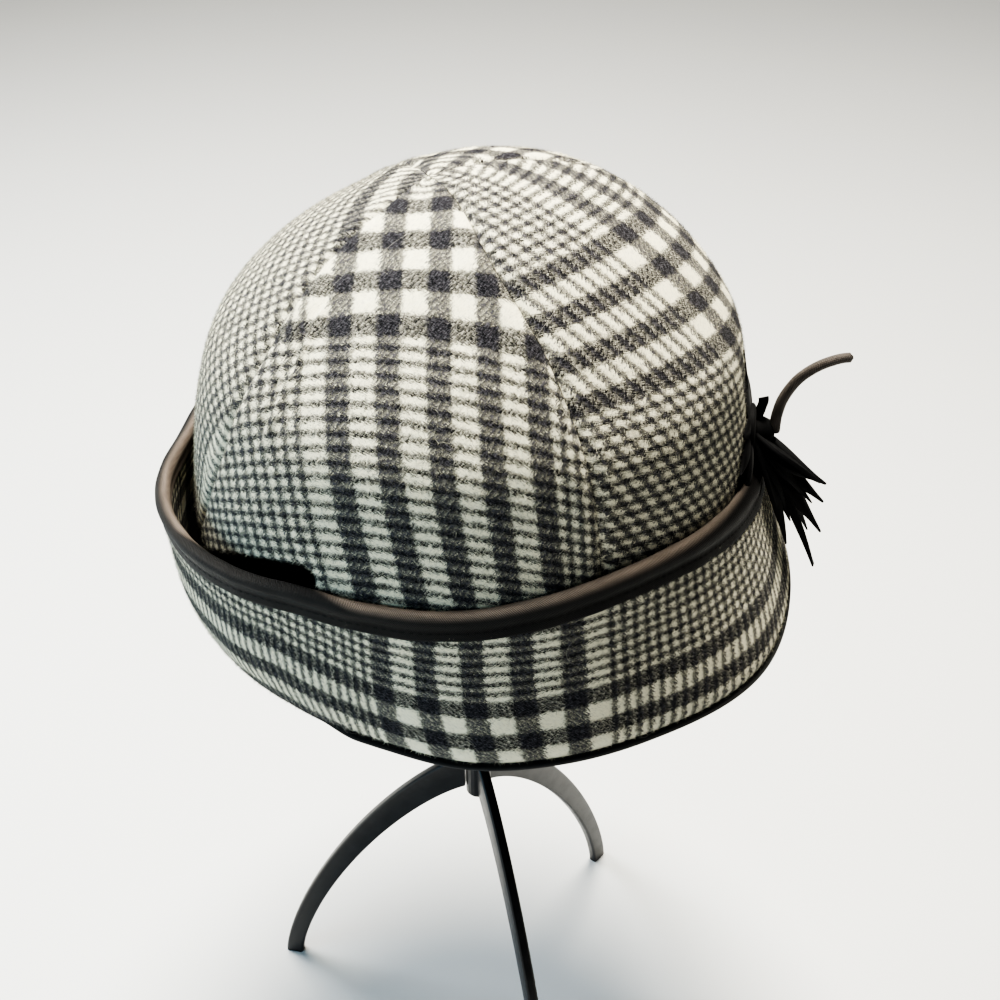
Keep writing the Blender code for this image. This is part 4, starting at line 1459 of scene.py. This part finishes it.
def petal(index, place, look):
    """A pointed strip of felt that leaves the backing and lifts off the crown."""
    turn, lift, curl, long, wide, tip, twist = PETALS[index]
    seat, out, up, side = place
    layer = (index + 0.5) / len(PETALS)
    middle = seat + out * (GAP + BACKING_THICKNESS * (0.25 + 0.5 * layer))
    flat = up * math.cos(math.radians(turn)) + side * math.sin(math.radians(turn))
    across = unit(np.cross(flat, out))
    stride = long * PETAL_LENGTH / PETAL_STATIONS
    draw = np.random.default_rng(PETAL_SEED + index)
    wave, phase = draw.uniform(*PETAL_WAVES), draw.uniform(0, 2 * math.pi)
    loops = []
    for i in range(PETAL_STATIONS + 1):
        share = i / PETAL_STATIONS
        angle = math.radians(lift - curl * share)
        along = flat * math.cos(angle) + out * math.sin(angle)
        face = out * math.cos(angle) - flat * math.sin(angle)
        turned = math.radians(twist) * share
        turned += PETAL_WAVE_TURN * math.sin(wave * share + phase) * share
        edge = across * math.cos(turned) + face * math.sin(turned)
        face = face * math.cos(turned) - across * math.sin(turned)
        swell = math.sin(math.pi * min(1.0, share + 0.12) ** 0.9)
        swell = PETAL_ROOT + (1 - PETAL_ROOT) * swell
        spread = max(tip, swell) * (1 - share**4) + tip * share**4
        reach = spread * wide * PETAL_WIDTH / 2
        crease = PETAL_THICKNESS * math.sin(math.pi * share)
        half = PETAL_THICKNESS / 2 * (1 - 0.65 * share**5)
        loop = []
        for sign in (1, -1):
            for across_share, thick in PETAL_SECTION[::sign]:
                sag = crease * across_share**2
                loop.append(middle + edge * reach * across_share + face * (sign * half * thick - sag))
        loops.append(loop)
        middle = middle + along * stride
    piece = loft(f"petal_{index}", np.array(loops), look)


def turned_piece(name, profile, base, axis, look):
    """A piece turned about an axis from a profile of radius and height along it."""
    axis = unit(axis)
    across = unit(np.cross(axis, (0.0, 0.3, 1.0)))
    over = np.cross(axis, across)
    turns = 2 * math.pi * np.arange(TURNED_SIDES) / TURNED_SIDES
    ring = across[None, :] * np.cos(turns)[:, None] + over[None, :] * np.sin(turns)[:, None]
    loops = np.array([base + axis * height + ring * radius for radius, height in profile])
    return loft(name, loops, look)


def flower(look):
    """Backing, knot and petals."""
    place = flower_frame()
    seat, out, up, side = place
    base = seat + out * GAP
    reach = KNOT_LENGTH + 2 * GAP + STEM_RADIUS
    edges = [(max(PIN, BACKING_RADIUS * r), BACKING_THICKNESS * h) for r, h in BACKING_PROFILE]
    backing = turned_piece("flower_backing", edges, base, out, look)
    edges = [(max(PIN, KNOT_RADIUS * r), reach * h) for r, h in KNOT_PROFILE]
    knot = turned_piece("flower_knot", edges, base, out, look)
    rest = base + out * reach * BEAD_OUT - up * KNOT_RADIUS * BEAD_DOWN + side * KNOT_BEAD
    turns = np.radians(np.linspace(-88, 88, 11))
    edges = [(KNOT_BEAD * math.cos(turn), KNOT_BEAD * math.sin(turn)) for turn in turns]
    bead = turned_piece("flower_bead", edges, rest, up, look)
    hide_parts("flower")
    for index in range(len(PETALS)):
        petal(index, place, look)


def stem(look):
    """The rolled stem that stands on the knot, curves up and then outwards."""
    seat, out, up, _ = flower_frame()
    root = seat + out * (2 * GAP + KNOT_LENGTH + STEM_RADIUS)
    shares = np.linspace(0.0, 1.0, len(STEM))
    share = np.linspace(0.0, 1.0, STEM_STATIONS)
    ups, outs = zip(*STEM)
    rise, reach = STEM_RISE * hermite(shares, ups, share), STEM_REACH * hermite(shares, outs, share)
    line = root + up * rise[:, None] + out * reach[:, None]
    along = unit(np.gradient(line, axis=0))
    over = unit(np.cross(along, np.cross(out, up)))
    across = np.cross(along, over)
    turns = 2 * math.pi * np.arange(STEM_SIDES) / STEM_SIDES
    seam = 1 + ridge(np.degrees(turns), *STEM_SEAM)
    thick = STEM_RADIUS * STEM_GIRTH * (1.0 - STEM_TAPER * share)
    thick = thick * (1 - STEM_TIP_LOSS * smooth(*STEM_TIP, share))
    ring = over[:, None] * np.cos(turns)[None, :, None] + across[:, None] * np.sin(turns)[None, :, None]
    loops = line[:, None] + ring * (thick[:, None] * seam[None, :])[..., None]
    girth = np.arange(STEM_SIDES + 1) * 2 * math.pi * STEM_RADIUS / STEM_SIDES
    piece = loft("stem", loops, look, strip_map(run_along(line), girth))
    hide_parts("flower_stem")


# The stand


def arch(reach, rise, turn):
    """A point of the legs' curve: turn 0 at the floor, 1 at the hub's side."""
    angle = turn * math.pi / 2
    return reach * np.cos(angle) ** (2 / LEG_CURVE), rise * np.sin(angle) ** (2 / LEG_CURVE)


def arch_edge(reach, rise, hub):
    """The curve from the floor in to the hub's side, cut there."""
    share = (hub / reach) ** (LEG_CURVE / 2)
    last = math.acos(share) / (math.pi / 2)
    return np.stack(arch(reach, rise, last * np.arange(LEG_STATIONS + 1) / LEG_STATIONS), -1)


def stand_leg(name, azimuth, look):
    """An arched blade from the hub down to a flat sole, its edges rounded."""
    hub = HUB_RADIUS + GAP
    upper = arch_edge(FOOT_REACH, LEG_RISE, hub)
    lower = arch_edge(FOOT_REACH - FOOT_LENGTH, LEG_RISE - LEG_DEPTH, hub)
    side = BLADE / 2
    turn = math.radians(azimuth)
    forward = np.array([math.cos(turn), math.sin(turn), 0.0])
    across = np.array([-math.sin(turn), math.cos(turn), 0.0])
    loops = []
    for high, low in zip(upper, lower):
        depth = length(high - low)
        down = (low - high) / depth
        near, far = BLADE_ROUND, depth - BLADE_ROUND
        loop = []
        for corner, (middle, sign) in enumerate(((near, -1), (near, 1), (far, 1), (far, -1))):
            for step in range(CORNER_STEPS + 1):
                angle = math.pi + math.pi / 2 * (corner + step / CORNER_STEPS)
                x = sign * (side - BLADE_ROUND) + BLADE_ROUND * math.cos(angle)
                reach, height = high + down * (middle + BLADE_ROUND * math.sin(angle))
                loop.append(AXIS + forward * reach + across * x + (0.0, 0.0, max(0.0, height)))
        loops.append(loop)
    piece = loft(f"leg_{name}", np.array(loops), look)
    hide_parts(f"stand_leg_{name}")


def dress_node(name, look):
    """Gives a solid that stays a finish of its own."""
    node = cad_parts[name]
    node.data.materials.clear()
    node.data.materials.append(look)


# Stage


def area_light(name, place, size, power, colour, target):
    light = bpy.data.lights.new(name, "AREA")
    light.shape = "DISK"
    light.size = size
    light.energy = power
    light.color = colour
    lamp = bpy.data.objects.new(name, light)
    lamp.location = place
    lamp.rotation_euler = (Vector(target) - Vector(place)).to_track_quat("-Z", "Y").to_euler()
    bpy.context.scene.collection.objects.link(lamp)


def stage():
    """Floor, soft studio light and the camera at the photo's angle."""
    bpy.ops.mesh.primitive_plane_add(size=FLOOR_SIZE, location=(0.0, 0.0, 0.0))
    floor = bpy.context.object
    floor.name = "floor"
    floor.data.materials.append(floor_look())
    target = tuple(AXIS + (0.0, 0.0, LIT_HEIGHT))
    for light in LIGHTS:
        area_light(*light, target)
    world = bpy.data.worlds.new("studio")
    world.use_nodes = True
    background = world.node_tree.nodes["Background"]
    background.inputs["Color"].default_value = SKY
    background.inputs["Strength"].default_value = SKY_STRENGTH
    bpy.context.scene.world = world
    bpy.context.scene.view_settings.look = "AgX - High Contrast"

    camera_data = bpy.data.cameras.new("camera")
    camera_data.sensor_width = CAMERA_SENSOR
    camera_data.lens = CAMERA_LENS
    camera = bpy.data.objects.new("camera", camera_data)
    camera.location = AXIS + (CAMERA_RIGHT, -CAMERA_FRONT, RIM_HEIGHT + CAMERA_RISE)
    camera.rotation_euler = (math.radians(90.0 - CAMERA_DOWN), 0.0, 0.0)
    bpy.context.scene.collection.objects.link(camera)
    bpy.context.scene.camera = camera


def build():
    """Makes every piece, hiding the solids that the pieces replace."""
    wool = plaid_look("plaid_wool", WARP_CHECKS)
    band_wool = plaid_look("plaid_band_wool", BAND_CHECKS)
    hair = felt_look("loose_fibre", *LOOSE_HAIR)
    tape = tape_look("bias_tape", *BIAS_TAPE, FOLD_HIGHLIGHT_FROM)
    bead = tape_look("rim_bead", *BEAD_TAPE)
    thread = felt_look("stitch_thread", *THREAD)
    felt = felt_look("petal_felt", *PETAL_FELT)
    cane = tape_look("stem_cloth", *STEM_CLOTH)
    plastic = plastic_look("stand_plastic")

    for seam in range(len(SEAMS)):
        piece, outer, normals, cloth, deep = crown_gore(seam, wool)
        name = SEAMS[seam][0]
        seed = NAP_SEED + seam
        fuzz = nap(f"nap_{name}", outer, normals, cloth, GORE_NAP, seed, wool, 1 - deep)
        hairs = lint(f"lint_{name}", outer, normals, GORE_LINT, LINT_SEED + seam, hair)
        width, tall = np.ptp(cloth.reshape(-1, 2), axis=0) * (WARP_PITCH, WEFT_PITCH)
        width, tall = float(width), float(tall)
    band, outer, normals, cloth = flap_band(band_wool)
    outer, normals, cloth = (grid[:, : BAND_ROWS - 3] for grid in (outer, normals, cloth))
    fuzz = nap("nap_band", outer, normals, cloth, BAND_NAP, BAND_NAP_SEED, band_wool)
    hairs = lint("lint_band", outer, normals, BAND_LINT, BAND_LINT_SEED, hair)
    tape_stitches(*flap_tape(tape), thread)
    rim_tape(bead)
    flower(felt)
    stem(cane)
    dress_node("stand_post", plastic)
    for step, name in enumerate(("right", "left", "front")):
        stand_leg(name, LEG_AZIMUTH + 120 * step, plastic)
        dress_node(f"stand_rib_{name}", plastic)


build()
stage()
